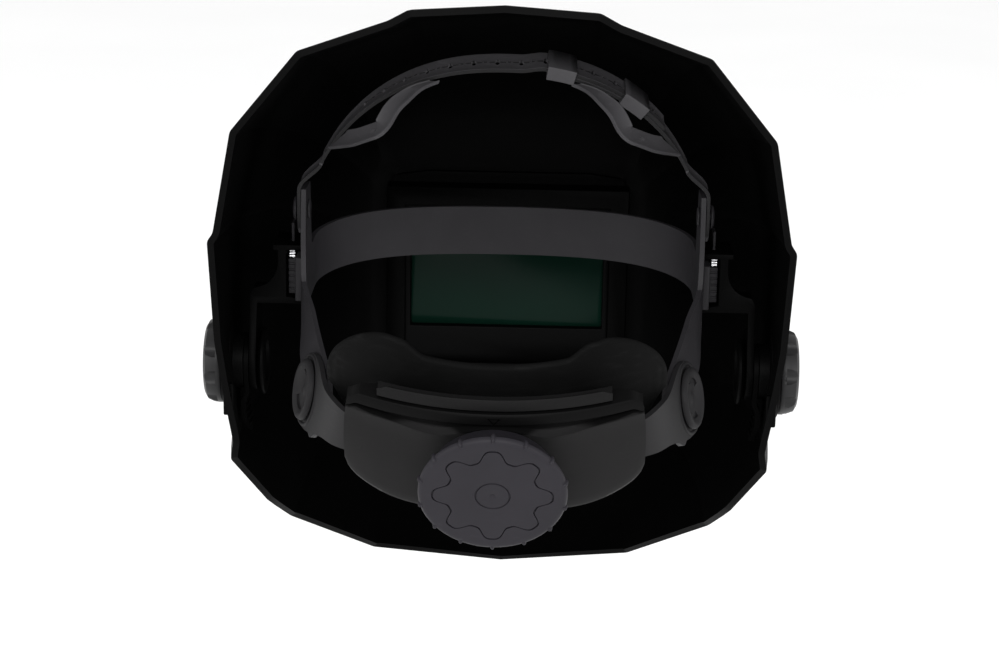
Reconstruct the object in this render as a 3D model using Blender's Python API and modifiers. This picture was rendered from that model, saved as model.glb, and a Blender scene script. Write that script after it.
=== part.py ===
"""Welding helmet: a moulded face shell that tilts on a ratchet headgear.

Every piece is drawn from the tilt axis: X runs along the axis to the wearer's
left, Y to the back of the head and Z up.  The tilt axis itself lies below and
ahead of the origin, which is the underside of the crown strap.
"""
import math

import bmesh
import bpy
from mathutils import Matrix, Vector

# Clearances
GAP = 0.0003
BORE_CLEARANCE = 0.0003

# Crown strap underside, from the tilt axis
CROWN_HEIGHT = 0.134
CROWN_SETBACK = 0.015

# Headband
BAND_HALF_WIDTH = 0.0825
BAND_THICKNESS = 0.0020
BAND_HEIGHT = 0.0220
BAND_FLAT_RUN = 0.0200
BAND_FRONT_LENGTH = 0.0420
BAND_SIDE_HEIGHT = 0.0400
BAND_FRONT_HEIGHT = 0.0450
BAND_REAR_SLOPE = 0.37
BAND_END = 0.0920
BAND_TAPER = 0.0169
BAND_TAPER_POWER = 1.25
BAND_LEAN = 0.20
BAND_LEAN_START = 0.0190
BAND_LEAN_FULL = 0.0450
EAR_DROP = 0.0090
EAR_HALF_LENGTH = 0.0180
LUG_TOP = 0.0800
LUG_WIDTH = 0.0180
LUG_SETBACK = 0.0080
BAND_SLOT_LENGTH = 0.0085
BAND_SLOT_WIDTH = 0.0032
BAND_SLOT_SETBACK = 0.0235
BAND_SLOT_DROP = 0.0060

# Face shell, wide enough for the pivots beside the band and high enough to
# swing over the crown strap
SHELL_SIDE_ROOM = 0.0379
SHELL_CROWN_ROOM = 0.0310
SHELL_HALF_WIDTH = BAND_HALF_WIDTH + SHELL_SIDE_ROOM
SHELL_WALL = 0.0028
RIM_TOP = CROWN_HEIGHT + SHELL_CROWN_ROOM
RIM_BACK = 0.061
CHIN_DROP = 0.129
CHIN_REACH = 0.098
FACE_REACH = 0.145
SHELL_BOSS_RADIUS = 0.0200
SHELL_BOSS_SUNK = 0.0009
SHELL_BOSS_OUTER = SHELL_HALF_WIDTH - SHELL_BOSS_SUNK
SHELL_BOSS_DEPTH = 0.0088
SHELL_BOSS_INNER = SHELL_BOSS_OUTER - SHELL_BOSS_DEPTH
SHELL_BOSS_INNER_RADIUS = 0.0120
STOP_TAB_SETBACK = 0.0295
STOP_TAB_THICKNESS = 0.0025
STOP_TAB_LENGTH = 0.0140
STOP_TAB_DROP = 0.0080
STOP_TAB_STAND = 0.0045
STOP_TAB_ROOT = 0.0010

# Window
WINDOW_HALF_WIDTH = 0.066
WINDOW_HALF_HEIGHT = 0.060
WINDOW_CENTRE = 0.002
WINDOW_BORDER = 0.0095
WINDOW_RECESS = 0.0040
WINDOW_LEDGE = 0.0065
COVER_LENS_THICKNESS = 0.0010
LENS_CLEARANCE = 0.0005
CARTRIDGE_WIDTH = 0.110
CARTRIDGE_HEIGHT = 0.090
CARTRIDGE_DEPTH = 0.0090
CARTRIDGE_VIEW_WIDTH = 0.096
CARTRIDGE_VIEW_HEIGHT = 0.046
GLASS_THICKNESS = 0.0035
GLASS_SEAT = 0.0015
RETAINER_WALL = 0.0030
RETAINER_LIP = 0.0060

# Pivot bolts, knobs and angle levers
BOLT_RADIUS = 0.0050
BOLT_HEAD_RADIUS = 0.0145
BOLT_HEAD_DEPTH = 0.0034
TENSION_KNOB_RADIUS = 0.0185
TENSION_KNOB_DEPTH = 0.0080
TENSION_FLUTE_COUNT = 9
TENSION_FLUTE_RADIUS = 0.0045
LEVER_THICKNESS = 0.0020
LEVER_HUB_RADIUS = 0.0120
LEVER_REACH = 0.0315
LEVER_PADDLE_RADIUS = 0.0085
LEVER_FLARE = 0.0017

# Side arms
ARM_THICKNESS = 0.0030
ARM_DEPTH = 0.0240
ARM_REAR = 0.0060
ARM_PIVOT_RADIUS = 0.0125
ARM_SHELF_HEIGHT = 0.0275
ARM_SHELF_WALL = 0.0030
ARM_FILLET_HEIGHT = 0.0200
ARM_COLUMN_TOP = 0.0510
ARM_FLANGE_WALL = 0.0022
ARM_COLUMN_WALL = 0.0036
ARM_LATCH_ROOM = 0.0045
ARM_FLANGE_OVERHANG = 0.0020
ARM_HOOK_GAP = 0.0006
ARM_FILLET_FOOT = 0.0035

# Slide tracks and latches
TRACK_LENGTH = 0.0380
TRACK_THICKNESS = 0.0030
TRACK_HEIGHT = 0.0190
LATCH_LENGTH = 0.0150
LATCH_SPIKE_HEIGHT = 0.0100
LATCH_SPIKE_THICKNESS = 0.0014

# Crown straps
STRAP_THICKNESS = 0.0014
STRAP_WIDTH = 0.0190
STRAP_LEAN = 10.0
ARCH_HALF_WIDTH = 0.0850
ARCH_SPRING = 0.0450
ARCH_EXPONENT = 2.25
STRAP_FOOT = 0.0600
STRAP_KNEE_LENGTH = 0.0120
STRAP_OVERLAP_START = 0.0060
STRAP_OVERLAP_END = 0.0640
STRAP_TAIL_START = 0.0170
STRAP_HOLE_PITCH = 0.0097
STRAP_HOLE_SIZE = 0.0056
STRAP_FIRST_HOLE = 0.0574
STRAP_HOLE_COUNT = 14
REAR_STRAP_WIDTH = 0.0082
REAR_STRAP_TOP_WIDTH = 0.0026
REAR_STRAP_SPREAD_START = 0.34
REAR_STRAP_SPREAD_END = 0.52
REAR_STRAP_THICKNESS = 0.0014
LOOP_WALL = 0.0010
LOOP_LENGTH = 0.0115
LOOP_BEND_COUNT = 4
LOOP_INNER_PLACE = 0.0225
LOOP_OUTER_PLACE = 0.0520
PIN_HEAD_RADIUS = 0.0050
PIN_STEM_RADIUS = 0.0025
PIN_HEAD_DEPTH = 0.0016
PIN_HEIGHT = 0.0700

# Nape cradle
CRADLE_REACH = 0.137
CRADLE_RISE = -0.0022
CRADLE_TILT = 24.0
COVER_RADIUS = 0.116
COVER_HALF_WIDTH = 0.0604
COVER_TOP = 0.0294
COVER_MIDDLE_RISE = 0.0016
COVER_BOTTOM = 0.0212
COVER_END_DROP = 0.0025
COVER_END_RISE = 0.42
COVER_CORNER_SHARE = 0.90
COVER_CORNER_RISE = 0.0040
COVER_SIDE_BOW = 0.05
COVER_END_OPEN = 0.45
COVER_DEPTH = 0.0095
COVER_WALL = 0.0020
COVER_STEP = 0.0012
COVER_STEP_HEIGHT = 0.0050
BACK_PLATE_THICKNESS = 0.0024
BACK_PLATE_HALF_WIDTH = 0.0450
BACK_PLATE_STAND = 0.0055
BACK_PLATE_SETBACK = 0.0010
BACK_PLATE_END_DROP = 0.0020
PAD_THICKNESS = 0.0030
PAD_HALF_WIDTH = 0.0663
PAD_RADIUS = 0.084
PAD_TOP = 0.0434
PAD_LOBE_RISE = 0.0050
PAD_LOBE_START = 0.0262
PAD_LOBE_FULL = 0.0350
PAD_CORNER = 0.0263
PAD_BOTTOM = 0.0160
PAD_END_HEIGHT = 0.0120
PAD_END_LOW = 0.0080

# Ratchet knob
RATCHET_RADIUS = 0.0284
RATCHET_DEPTH = 0.0110
RATCHET_EDGE = 0.0034
RATCHET_BASE_SHARE = 0.84
RATCHET_RISE = 0.0008
RATCHET_RIB_COUNT = 14
RATCHET_RIB_SIZE = 0.0016
RATCHET_STAR_OUTER = 0.0222
RATCHET_STAR_INNER = 0.0172
RATCHET_STAR_RELIEF = 0.0006
RATCHET_LOBE_COUNT = 8
RATCHET_HUB_RADIUS = 0.0065

# Rear arms and their joint discs
DISC_SETBACK = 0.0700
DISC_HEIGHT = 0.0090
DISC_RADIUS = 0.0125
DISC_DISH = 0.0022
DISC_STEM_RADIUS = 0.0040
REAR_ARM_THICKNESS = 0.0020
REAR_ARM_EYE_RADIUS = 0.0152
REAR_ARM_HALF_WIDTH = 0.0105
REAR_ARM_TIP_HALF_WIDTH = 0.0094
REAR_ARM_END_RISE = 0.0044
REAR_ARM_TUCK = 0.0110

# Rim and window, column by column from the crown to the chin.  Shares of:
# shell half width, rim setback or chin reach, rim height or chin drop, window
# half width, window half height, then how far the wall swells beside the rim
# and how high its shoulder stands, as shares of the rim's width and height
SHELL_COLUMNS = (
    ("crown", 0.000, 1.000, 1.000, 0.000, 1.000, 1.00, 0.850),
    ("plateau_corner", 0.313, 1.000, 0.985, 0.560, 1.000, 1.00, 0.850),
    ("plateau_foot", 0.379, 0.984, 0.958, 0.690, 1.000, 1.00, 0.840),
    ("brow_corner", 0.680, 0.934, 0.878, 0.940, 0.960, 0.98, 0.820),
    ("temple_corner", 0.909, 0.852, 0.673, 1.000, 0.760, 0.99, 0.800),
    ("above_step", 0.979, 0.754, 0.409, 1.000, 0.400, 1.00, 0.850),
    ("step_foot", 1.000, 0.738, 0.387, 1.000, 0.330, 1.00, 0.850),
    ("cheek", 0.987, 0.650, 0.121, 1.000, -0.100, 1.02, 0.850),
    ("notch_top", 0.935, 0.525, -0.206, 1.000, -0.500, 1.17, 0.900),
    ("notch_foot", 0.949, 0.459, -0.278, 1.000, -0.600, 1.13, 0.900),
    ("jaw", 0.786, -0.255, -0.628, 0.930, -0.930, 1.02, 0.860),
    ("jaw_front", 0.502, -0.765, -0.890, 0.545, -1.000, 1.00, 0.830),
    ("chin", 0.000, -1.000, -1.000, 0.000, -1.000, 1.00, 0.820),
)
SHORT_COLUMN = 0.12
COLUMN_SPLIT_COUNT = 2
RIB_POINT_COUNT = 7
SHOULDER_DEPTH = 0.93
SHOULDER_WIDTH = 0.96

PLASTIC_BLACK = ("black_plastic", (0.012, 0.012, 0.013), 0.45, 0.0)
PLASTIC_GREY = ("headgear_plastic", (0.022, 0.021, 0.025), 0.5, 0.0)
RUBBER = ("pad_rubber", (0.025, 0.025, 0.026), 0.8, 0.0)
STEEL = ("latch_steel", (0.45, 0.45, 0.47), 0.3, 1.0)
LENS_CLEAR = ("cover_lens_clear", (0.55, 0.60, 0.58), 0.08, 0.0)
FILTER_GREEN = ("filter_green", (0.01, 0.05, 0.03), 0.05, 0.0)

SIDES = {"left": 1.0, "right": -1.0}


def clear_scene():
    for item in list(bpy.data.objects):
        bpy.data.objects.remove(item, do_unlink=True)


def collection(name):
    found = bpy.data.collections.new(name)
    bpy.context.scene.collection.children.link(found)
    return found


def material(finish):
    name, colour, roughness, metallic = finish
    made = bpy.data.materials.get(name)
    if made is None:
        made = bpy.data.materials.new(name)
        made.use_nodes = True
        shader = made.node_tree.nodes["Principled BSDF"]
        shader.inputs["Base Color"].default_value = (*colour, 1.0)
        shader.inputs["Roughness"].default_value = roughness
        shader.inputs["Metallic"].default_value = metallic
    return made


clear_scene()
PARTS = collection("welding_helmet")
CUTTERS = collection("cutters")


def frame_empty(name, location, tilt=0.0, parent=None):
    empty = bpy.data.objects.new(name, None)
    empty.empty_display_size = 0.02
    empty.location = location
    empty.rotation_euler = (math.radians(tilt), 0.0, 0.0)
    empty.parent = parent
    PARTS.objects.link(empty)
    return empty


TILT_AXIS = frame_empty("tilt_axis", (0.0, -CROWN_SETBACK, -CROWN_HEIGHT))
CRADLE = frame_empty("cradle", (0.0, CRADLE_REACH, CRADLE_RISE), -CRADLE_TILT, TILT_AXIS)


def piece(name, bm, finish, parent=TILT_AXIS, sharp_angle=35.0):
    """Turn a bmesh into a named piece that hangs on its frame."""
    mesh = bpy.data.meshes.new(name)
    bm.to_mesh(mesh)
    bm.free()
    mesh.shade_smooth()
    mesh.set_sharp_from_angle(angle=math.radians(sharp_angle))
    made = bpy.data.objects.new(name, mesh)
    made.data.materials.append(material(finish))
    made.parent = parent
    PARTS.objects.link(made)
    return made


def cutter(name, bm, parent=TILT_AXIS):
    mesh = bpy.data.meshes.new(name)
    bm.to_mesh(mesh)
    bm.free()
    made = bpy.data.objects.new(name, mesh)
    made.parent = parent
    made.hide_render = True
    made.display_type = "WIRE"
    CUTTERS.objects.link(made)
    return made


def boolean(target, other, operation):
    step = target.modifiers.new(other.name, "BOOLEAN")
    step.object = other
    step.operation = operation
    step.solver = "EXACT"


def solidify(target, thickness, offset):
    step = target.modifiers.new("wall", "SOLIDIFY")
    step.thickness = thickness
    step.offset = offset
    step.use_even_offset = True


def sheet(rows, flip=False, closed=False):
    """Open surface through rows of points of equal count."""
    bm = bmesh.new()
    grid = [[bm.verts.new(point) for point in row] for row in rows]
    if closed:
        grid.append(grid[0])
    for low, high in zip(grid, grid[1:]):
        for left, right in zip(range(len(low) - 1), range(1, len(low))):
            corners = [low[left], low[right], high[right], high[left]]
            if flip:
                corners.reverse()
            bm.faces.new(corners)
    return bm


def add_cylinder(bm, radius, start, end, segments=24):
    """Closed cylinder between two points."""
    start, end = Vector(start), Vector(end)
    turn = (end - start).to_track_quat("Z", "Y").to_matrix().to_4x4()
    place = Matrix.Translation((start + end) / 2) @ turn
    bmesh.ops.create_cone(bm, cap_ends=True, segments=segments, radius1=radius, radius2=radius,
                          depth=(end - start).length, matrix=place)


def add_box(bm, low, high):
    low, high = Vector(low), Vector(high)
    place = Matrix.Translation((low + high) / 2) @ Matrix.Diagonal((*(high - low), 1.0))
    bmesh.ops.create_cube(bm, size=1.0, matrix=place)


def add_prism(bm, outline, frame, depth):
    """Closed prism: an outline in the frame's XY plane, from z = 0 to depth."""
    low = [bm.verts.new(frame @ Vector((x, y, 0.0))) for x, y in outline]
    high = [bm.verts.new(frame @ Vector((x, y, depth))) for x, y in outline]
    faces = [bm.faces.new(list(reversed(low))), bm.faces.new(high)]
    for here in range(len(outline)):
        after = (here + 1) % len(outline)
        faces.append(bm.faces.new((low[here], low[after], high[after], high[here])))
    bmesh.ops.recalc_face_normals(bm, faces=faces)


def turned(name, profile, finish, parent, location, rotation, steps=32):
    """Solid of revolution: radius and height pairs, from the top down its outer side."""
    bm = bmesh.new()
    points = [bm.verts.new((radius, 0.0, height)) for radius, height in profile]
    for above, below in zip(points, points[1:]):
        bm.edges.new((above, below))
    made = piece(name, bm, finish, parent)
    made.location = location
    made.rotation_euler = rotation
    spin = made.modifiers.new("turn", "SCREW")
    spin.axis = "Z"
    spin.steps = steps
    spin.render_steps = steps
    spin.use_merge_vertices = True
    spin.merge_threshold = 0.00001
    return made


def superellipse(share, exponent):
    """Height share of a rounded arch at a width share, or the other way round."""
    return (1.0 - min(abs(share), 1.0) ** exponent) ** (1.0 / exponent)


def lerp(start, end, share):
    return start + (end - start) * share


def smooth_step(value, start, end):
    share = min(max((value - start) / (end - start), 0.0), 1.0)
    return share * share * (3.0 - 2.0 * share)


# Face shell


def rim_point(row):
    width, setback, height = row[1:4]
    return Vector((width * SHELL_HALF_WIDTH,
                   setback * (RIM_BACK if setback > 0.0 else CHIN_REACH),
                   height * (RIM_TOP if height > 0.0 else CHIN_DROP)))


def window_point(row, inset=0.0, depth=0.0):
    width, height = row[4:6]
    return Vector((width * (WINDOW_HALF_WIDTH - inset), depth - FACE_REACH,
                   WINDOW_CENTRE + height * (WINDOW_HALF_HEIGHT - inset)))


def split_columns():
    """The named columns with straight columns set between them."""
    made = [SHELL_COLUMNS[0]]
    for before, after in zip(SHELL_COLUMNS, SHELL_COLUMNS[1:]):
        short = abs(after[1] - before[1]) + abs(after[3] - before[3]) < SHORT_COLUMN
        splits = 1 if short else COLUMN_SPLIT_COUNT
        for step in range(1, splits + 1):
            share = step / splits
            values = [lerp(a, b, share) for a, b in zip(before[1:], after[1:])]
            made.append((after[0], *values))
    return made


def shell_rib(row):
    """Points from the rim, over the shoulder and into the window recess."""
    rim = rim_point(row)
    face = window_point(row)
    swell, high = row[6:8]
    shoulder = Vector((rim.x * SHOULDER_WIDTH, -FACE_REACH * SHOULDER_DEPTH, rim.z * high))
    first = lerp(rim, shoulder, 0.65)
    first.x = rim.x * swell
    second = lerp(face, shoulder, 0.55)
    points = []
    for sample in range(RIB_POINT_COUNT + 1):
        t = sample / RIB_POINT_COUNT
        s = 1.0 - t
        points.append(rim * s ** 3 + first * (3 * s * s * t) + second * (3 * s * t * t) + face * t ** 3)
    ledge = WINDOW_BORDER + WINDOW_LEDGE
    points.append(window_point(row, WINDOW_BORDER))
    points.append(window_point(row, WINDOW_BORDER, WINDOW_RECESS))
    points.append(window_point(row, ledge, WINDOW_RECESS))
    return points


def make_shell():
    ribs = [shell_rib(row) for row in split_columns()]
    for rib in (ribs[0], ribs[-1]):
        for point in rib:
            point.x = 0.0
    shell = piece("shell", sheet(ribs), PLASTIC_BLACK)
    mirror = shell.modifiers.new("both_sides", "MIRROR")
    mirror.merge_threshold = 0.0001
    mirror.use_clip = True
    solidify(shell, SHELL_WALL, -1.0)

    bosses = bmesh.new()
    pads = bmesh.new()
    bores = bmesh.new()
    wall = SHELL_BOSS_OUTER - SHELL_WALL
    for side in SIDES.values():
        add_cylinder(bosses, SHELL_BOSS_RADIUS, (side * (wall - SHELL_WALL / 2), 0, 0),
                     (side * SHELL_BOSS_OUTER, 0, 0), 28)
        add_cylinder(pads, SHELL_BOSS_INNER_RADIUS, (side * SHELL_BOSS_INNER, 0, 0),
                     (side * wall, 0, 0), 20)
        tab = sorted((side * (wall - STOP_TAB_STAND), side * (wall - STOP_TAB_ROOT)))
        add_box(pads, (tab[0], STOP_TAB_SETBACK, -STOP_TAB_DROP - STOP_TAB_LENGTH / 2),
                (tab[1], STOP_TAB_SETBACK + STOP_TAB_THICKNESS, -STOP_TAB_DROP + STOP_TAB_LENGTH / 2))
        add_cylinder(bores, BOLT_RADIUS + BORE_CLEARANCE, (side * SHELL_BOSS_INNER * 0.95, 0, 0),
                     (side * SHELL_BOSS_OUTER * 1.05, 0, 0))
    boolean(shell, cutter("shell_bosses", bosses), "UNION")
    boolean(shell, cutter("shell_pads", pads), "UNION")
    boolean(shell, cutter("shell_bores", bores), "DIFFERENCE")
    return shell


def window_outline(inset):
    """Whole window outline, in width and height, going once round."""
    half = [window_point(row, inset) for row in split_columns()]
    right = [(point.x, point.z) for point in half]
    left = [(-x, z) for x, z in reversed(right[1:-1])]
    return right + left


def make_window():
    """Cover lens, filter cartridge with its glass, and the frame that holds them."""
    facing = Matrix.Rotation(math.radians(90.0), 4, "X")
    seat = -FACE_REACH + WINDOW_RECESS
    lens = bmesh.new()
    frame = Matrix.Translation((0.0, seat - GAP, 0.0)) @ facing
    add_prism(lens, window_outline(WINDOW_BORDER + LENS_CLEARANCE), frame, COVER_LENS_THICKNESS)
    piece("cover_lens", lens, LENS_CLEAR)

    front = seat + SHELL_WALL + GAP
    back = front + CARTRIDGE_DEPTH
    half_width, half_height = CARTRIDGE_WIDTH / 2, CARTRIDGE_HEIGHT / 2
    view_width, view_height = CARTRIDGE_VIEW_WIDTH / 2, CARTRIDGE_VIEW_HEIGHT / 2
    centre = WINDOW_CENTRE
    body = bmesh.new()
    add_box(body, (-half_width, front, centre - half_height), (half_width, back, centre + half_height))
    housing = piece("filter_housing", body, PLASTIC_BLACK)
    hole = bmesh.new()
    add_box(hole, (-view_width + GLASS_SEAT, front - 0.01, centre - view_height + GLASS_SEAT),
            (view_width - GLASS_SEAT, back + 0.01, centre + view_height - GLASS_SEAT))
    boolean(housing, cutter("filter_view", hole), "DIFFERENCE")
    rebate = bmesh.new()
    glass_back = front + GLASS_THICKNESS + 2 * GAP
    add_box(rebate, (-view_width - GAP, front - 0.01, centre - view_height - GAP),
            (view_width + GAP, glass_back, centre + view_height + GAP))
    boolean(housing, cutter("filter_rebate", rebate), "DIFFERENCE")

    glass = bmesh.new()
    add_box(glass, (-view_width, front + GAP, centre - view_height),
            (view_width, front + GAP + GLASS_THICKNESS, centre + view_height))
    piece("filter_glass", glass, FILTER_GREEN)

    holder = bmesh.new()
    wall = RETAINER_WALL + GAP
    add_box(holder, (-half_width - wall, front, centre - half_height - wall),
            (half_width + wall, back + GAP + RETAINER_WALL, centre + half_height + wall))
    retainer = piece("filter_frame", holder, PLASTIC_BLACK)
    pocket = bmesh.new()
    add_box(pocket, (-half_width - GAP, front - 0.01, centre - half_height - GAP),
            (half_width + GAP, back + GAP, centre + half_height + GAP))
    boolean(retainer, cutter("frame_pocket", pocket), "DIFFERENCE")
    opening = bmesh.new()
    add_box(opening, (-half_width + RETAINER_LIP, front, centre - half_height + RETAINER_LIP),
            (half_width - RETAINER_LIP, back + 0.02, centre + half_height - RETAINER_LIP))
    boolean(retainer, cutter("frame_opening", opening), "DIFFERENCE")


# Pivot stack, from the shell inward

LEVER_OUTER = SHELL_BOSS_INNER - GAP
LEVER_INNER = LEVER_OUTER - LEVER_THICKNESS
ARM_OUTER = LEVER_INNER - GAP
ARM_MIDDLE = ARM_REAR - ARM_DEPTH / 2
ARM_INNER = ARM_OUTER - ARM_THICKNESS
HEAD_OUTER = ARM_INNER - GAP
KNOB_INNER = SHELL_BOSS_OUTER + GAP


def make_tension_knob(name, side):
    radius, depth = TENSION_KNOB_RADIUS, TENSION_KNOB_DEPTH
    profile = ((0.0, depth), (0.55 * radius, depth), (0.80 * radius, 0.93 * depth),
               (0.94 * radius, 0.72 * depth), (radius, 0.30 * depth), (radius, 0.0), (0.0, 0.0))
    knob = turned(name, profile, PLASTIC_BLACK, TILT_AXIS, (side * KNOB_INNER, 0, 0),
                  (0.0, side * math.pi / 2, 0.0), 18)
    flutes = bmesh.new()
    for step in range(TENSION_FLUTE_COUNT):
        angle = 2 * math.pi * step / TENSION_FLUTE_COUNT
        ring = radius + 0.55 * TENSION_FLUTE_RADIUS
        y, z = ring * math.cos(angle), ring * math.sin(angle)
        add_cylinder(flutes, TENSION_FLUTE_RADIUS, (side * (KNOB_INNER + 0.25 * depth), y, z),
                     (side * (KNOB_INNER + 1.2 * depth), y, z), 8)
    boolean(knob, cutter(name + "_flutes", flutes), "DIFFERENCE")
    bore = bmesh.new()
    add_cylinder(bore, BOLT_RADIUS + BORE_CLEARANCE, (side * (KNOB_INNER - 0.01), 0, 0),
                 (side * (KNOB_INNER + 0.7 * depth), 0, 0))
    boolean(knob, cutter(name + "_bore", bore), "DIFFERENCE")


def make_pivot_bolt(name, side):
    """Dished head inside the arm and a shank that reaches into the knob."""
    radius, depth = BOLT_HEAD_RADIUS, BOLT_HEAD_DEPTH
    reach = KNOB_INNER + 0.6 * TENSION_KNOB_DEPTH - HEAD_OUTER
    profile = ((0.0, reach), (BOLT_RADIUS, reach), (BOLT_RADIUS, 0.0), (0.62 * radius, 0.0),
               (radius, -0.45 * depth), (radius, -0.75 * depth), (0.60 * radius, -depth),
               (0.45 * radius, -0.55 * depth), (0.0, -0.55 * depth))
    turned(name, profile, PLASTIC_BLACK, TILT_AXIS, (side * HEAD_OUTER, 0, 0),
           (0.0, side * math.pi / 2, 0.0), 18)


def make_angle_lever(name, side):
    """Flat hub on the bolt with an arm that flares out to a round paddle."""
    stations = []
    for step in range(13):
        share = step / 12
        drop = -LEVER_HUB_RADIUS + share * (LEVER_HUB_RADIUS + LEVER_REACH)
        if drop < 0.0:
            half = math.sqrt(max(LEVER_HUB_RADIUS ** 2 - drop ** 2, 0.0))
        else:
            neck = lerp(LEVER_HUB_RADIUS, LEVER_PADDLE_RADIUS, smooth_step(share, 0.3, 0.6))
            tip = LEVER_REACH - drop
            curve = math.sqrt(max(LEVER_PADDLE_RADIUS ** 2 - (LEVER_PADDLE_RADIUS - tip) ** 2, 0.0))
            half = min(neck, curve) if tip < LEVER_PADDLE_RADIUS else neck
        rise = smooth_step(drop, LEVER_HUB_RADIUS, 0.53 * LEVER_REACH)
        flare = LEVER_FLARE * (rise - smooth_step(drop, 0.60 * LEVER_REACH, LEVER_REACH))
        stations.append((drop, max(half, 0.0015), flare))
    rows = []
    for drop, half, flare in stations:
        inner = side * (LEVER_INNER + flare)
        rows.append([Vector((inner, half * across, -drop)) for across in (-1.0, 0.0, 1.0)])
    lever = piece(name, sheet(rows, flip=side > 0), PLASTIC_BLACK)
    solidify(lever, LEVER_THICKNESS, 1.0)
    bore = bmesh.new()
    add_cylinder(bore, BOLT_RADIUS + BORE_CLEARANCE, (side * (LEVER_INNER - 0.01), 0, 0),
                 (side * (LEVER_OUTER + 0.01), 0, 0))
    boolean(lever, cutter(name + "_bore", bore), "DIFFERENCE")


# Side arms, on the slide tracks of the headband

TRACK_INNER = BAND_HALF_WIDTH + BAND_THICKNESS + GAP
TRACK_OUTER = TRACK_INNER + TRACK_THICKNESS
COLUMN_INNER = TRACK_OUTER + ARM_LATCH_ROOM
COLUMN_OUTER = COLUMN_INNER + ARM_COLUMN_WALL
TRACK_MIDDLE = BAND_SIDE_HEIGHT
FLANGE_BOTTOM = ARM_COLUMN_TOP
HOOK_INNER = TRACK_INNER + ARM_HOOK_GAP


def arm_fillet(samples=7):
    """Concave upper edge of the arm, from its column out to its leg."""
    points = []
    shelf = ARM_SHELF_HEIGHT + ARM_SHELF_WALL
    start = Vector((COLUMN_OUTER, shelf + ARM_FILLET_HEIGHT * 0.72))
    end = Vector((ARM_OUTER - ARM_THICKNESS / 2, shelf + ARM_FILLET_FOOT))
    corner = Vector((COLUMN_OUTER + ARM_COLUMN_WALL / 3, shelf + ARM_FILLET_HEIGHT / 4))
    for step in range(samples):
        t = step / (samples - 1)
        points.append(start * (1 - t) ** 2 + corner * (2 * t * (1 - t)) + end * t ** 2)
    points.append(Vector((ARM_OUTER, shelf + ARM_FILLET_FOOT / 7)))
    return [(point.x, point.y) for point in points]


def make_side_arm(name, side):
    """Rear web in the width and height plane, with plates along its edges."""
    rear, front = ARM_REAR, ARM_REAR - ARM_DEPTH
    shelf_low = ARM_SHELF_HEIGHT
    shelf_high = shelf_low + ARM_SHELF_WALL
    fillet = arm_fillet()
    web = [(HOOK_INNER, shelf_low), (HOOK_INNER, shelf_low + 0.6 * ARM_SHELF_WALL),
           (COLUMN_INNER, shelf_high), (COLUMN_INNER, FLANGE_BOTTOM),
           (COLUMN_OUTER, FLANGE_BOTTOM)] + fillet + [(ARM_OUTER, shelf_low)]
    facing = Matrix.Rotation(math.radians(90.0), 4, "X")

    def outline_prism(outline, back, depth):
        made = bmesh.new()
        place = Matrix.Translation((0.0, back, 0.0)) @ facing
        add_prism(made, [(side * x, z) for x, z in outline], place, depth)
        return made

    arm = piece(name, outline_prism(web, rear, ARM_SHELF_WALL), PLASTIC_BLACK)

    flange = COLUMN_OUTER + ARM_FLANGE_OVERHANG
    shelf = [(HOOK_INNER, shelf_low), (HOOK_INNER, shelf_low + 0.6 * ARM_SHELF_WALL),
             (COLUMN_INNER, shelf_high), (COLUMN_INNER, FLANGE_BOTTOM),
             (HOOK_INNER, FLANGE_BOTTOM), (HOOK_INNER, FLANGE_BOTTOM + ARM_FLANGE_WALL),
             (flange, FLANGE_BOTTOM + ARM_FLANGE_WALL),
             (flange, FLANGE_BOTTOM), (COLUMN_OUTER, FLANGE_BOTTOM),
             (COLUMN_OUTER, shelf_high), (ARM_OUTER, shelf_high), (ARM_OUTER, shelf_low)]
    boolean(arm, cutter(name + "_channel", outline_prism(shelf, rear, ARM_DEPTH)), "UNION")

    leg = bmesh.new()
    place = Matrix.Translation((side * ARM_INNER, 0.0, 0.0)) @ Matrix.Rotation(side * math.pi / 2, 4, "Y")
    top = -side * (shelf_low + 0.5 * ARM_SHELF_WALL)
    outline = [(top, front), (top, rear)]
    for step in range(15):
        angle = lerp(-0.35, math.pi + 0.35, step / 14)
        outline.append((side * ARM_PIVOT_RADIUS * math.sin(angle), ARM_PIVOT_RADIUS * math.cos(angle)))
    add_prism(leg, outline, place, ARM_THICKNESS)
    boolean(arm, cutter(name + "_leg", leg), "UNION")

    bore = bmesh.new()
    add_cylinder(bore, BOLT_RADIUS + BORE_CLEARANCE, (side * (ARM_INNER - 0.01), 0, 0),
                 (side * (ARM_OUTER + 0.01), 0, 0))
    boolean(arm, cutter(name + "_bore", bore), "DIFFERENCE")
    notch = bmesh.new()
    spike = latch_spike(side)
    half = LATCH_LENGTH / 4 + GAP
    add_box(notch, (min(spike) - GAP, ARM_MIDDLE - half, FLANGE_BOTTOM - 0.001),
            (max(spike) + GAP, ARM_MIDDLE + half, FLANGE_BOTTOM + ARM_FLANGE_WALL + 0.001))
    boolean(arm, cutter(name + "_notch", notch), "DIFFERENCE")


def latch_spike(side):
    middle = (TRACK_OUTER + COLUMN_INNER) / 2
    return (side * (middle - LATCH_SPIKE_THICKNESS / 2), side * (middle + LATCH_SPIKE_THICKNESS / 2))


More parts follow.
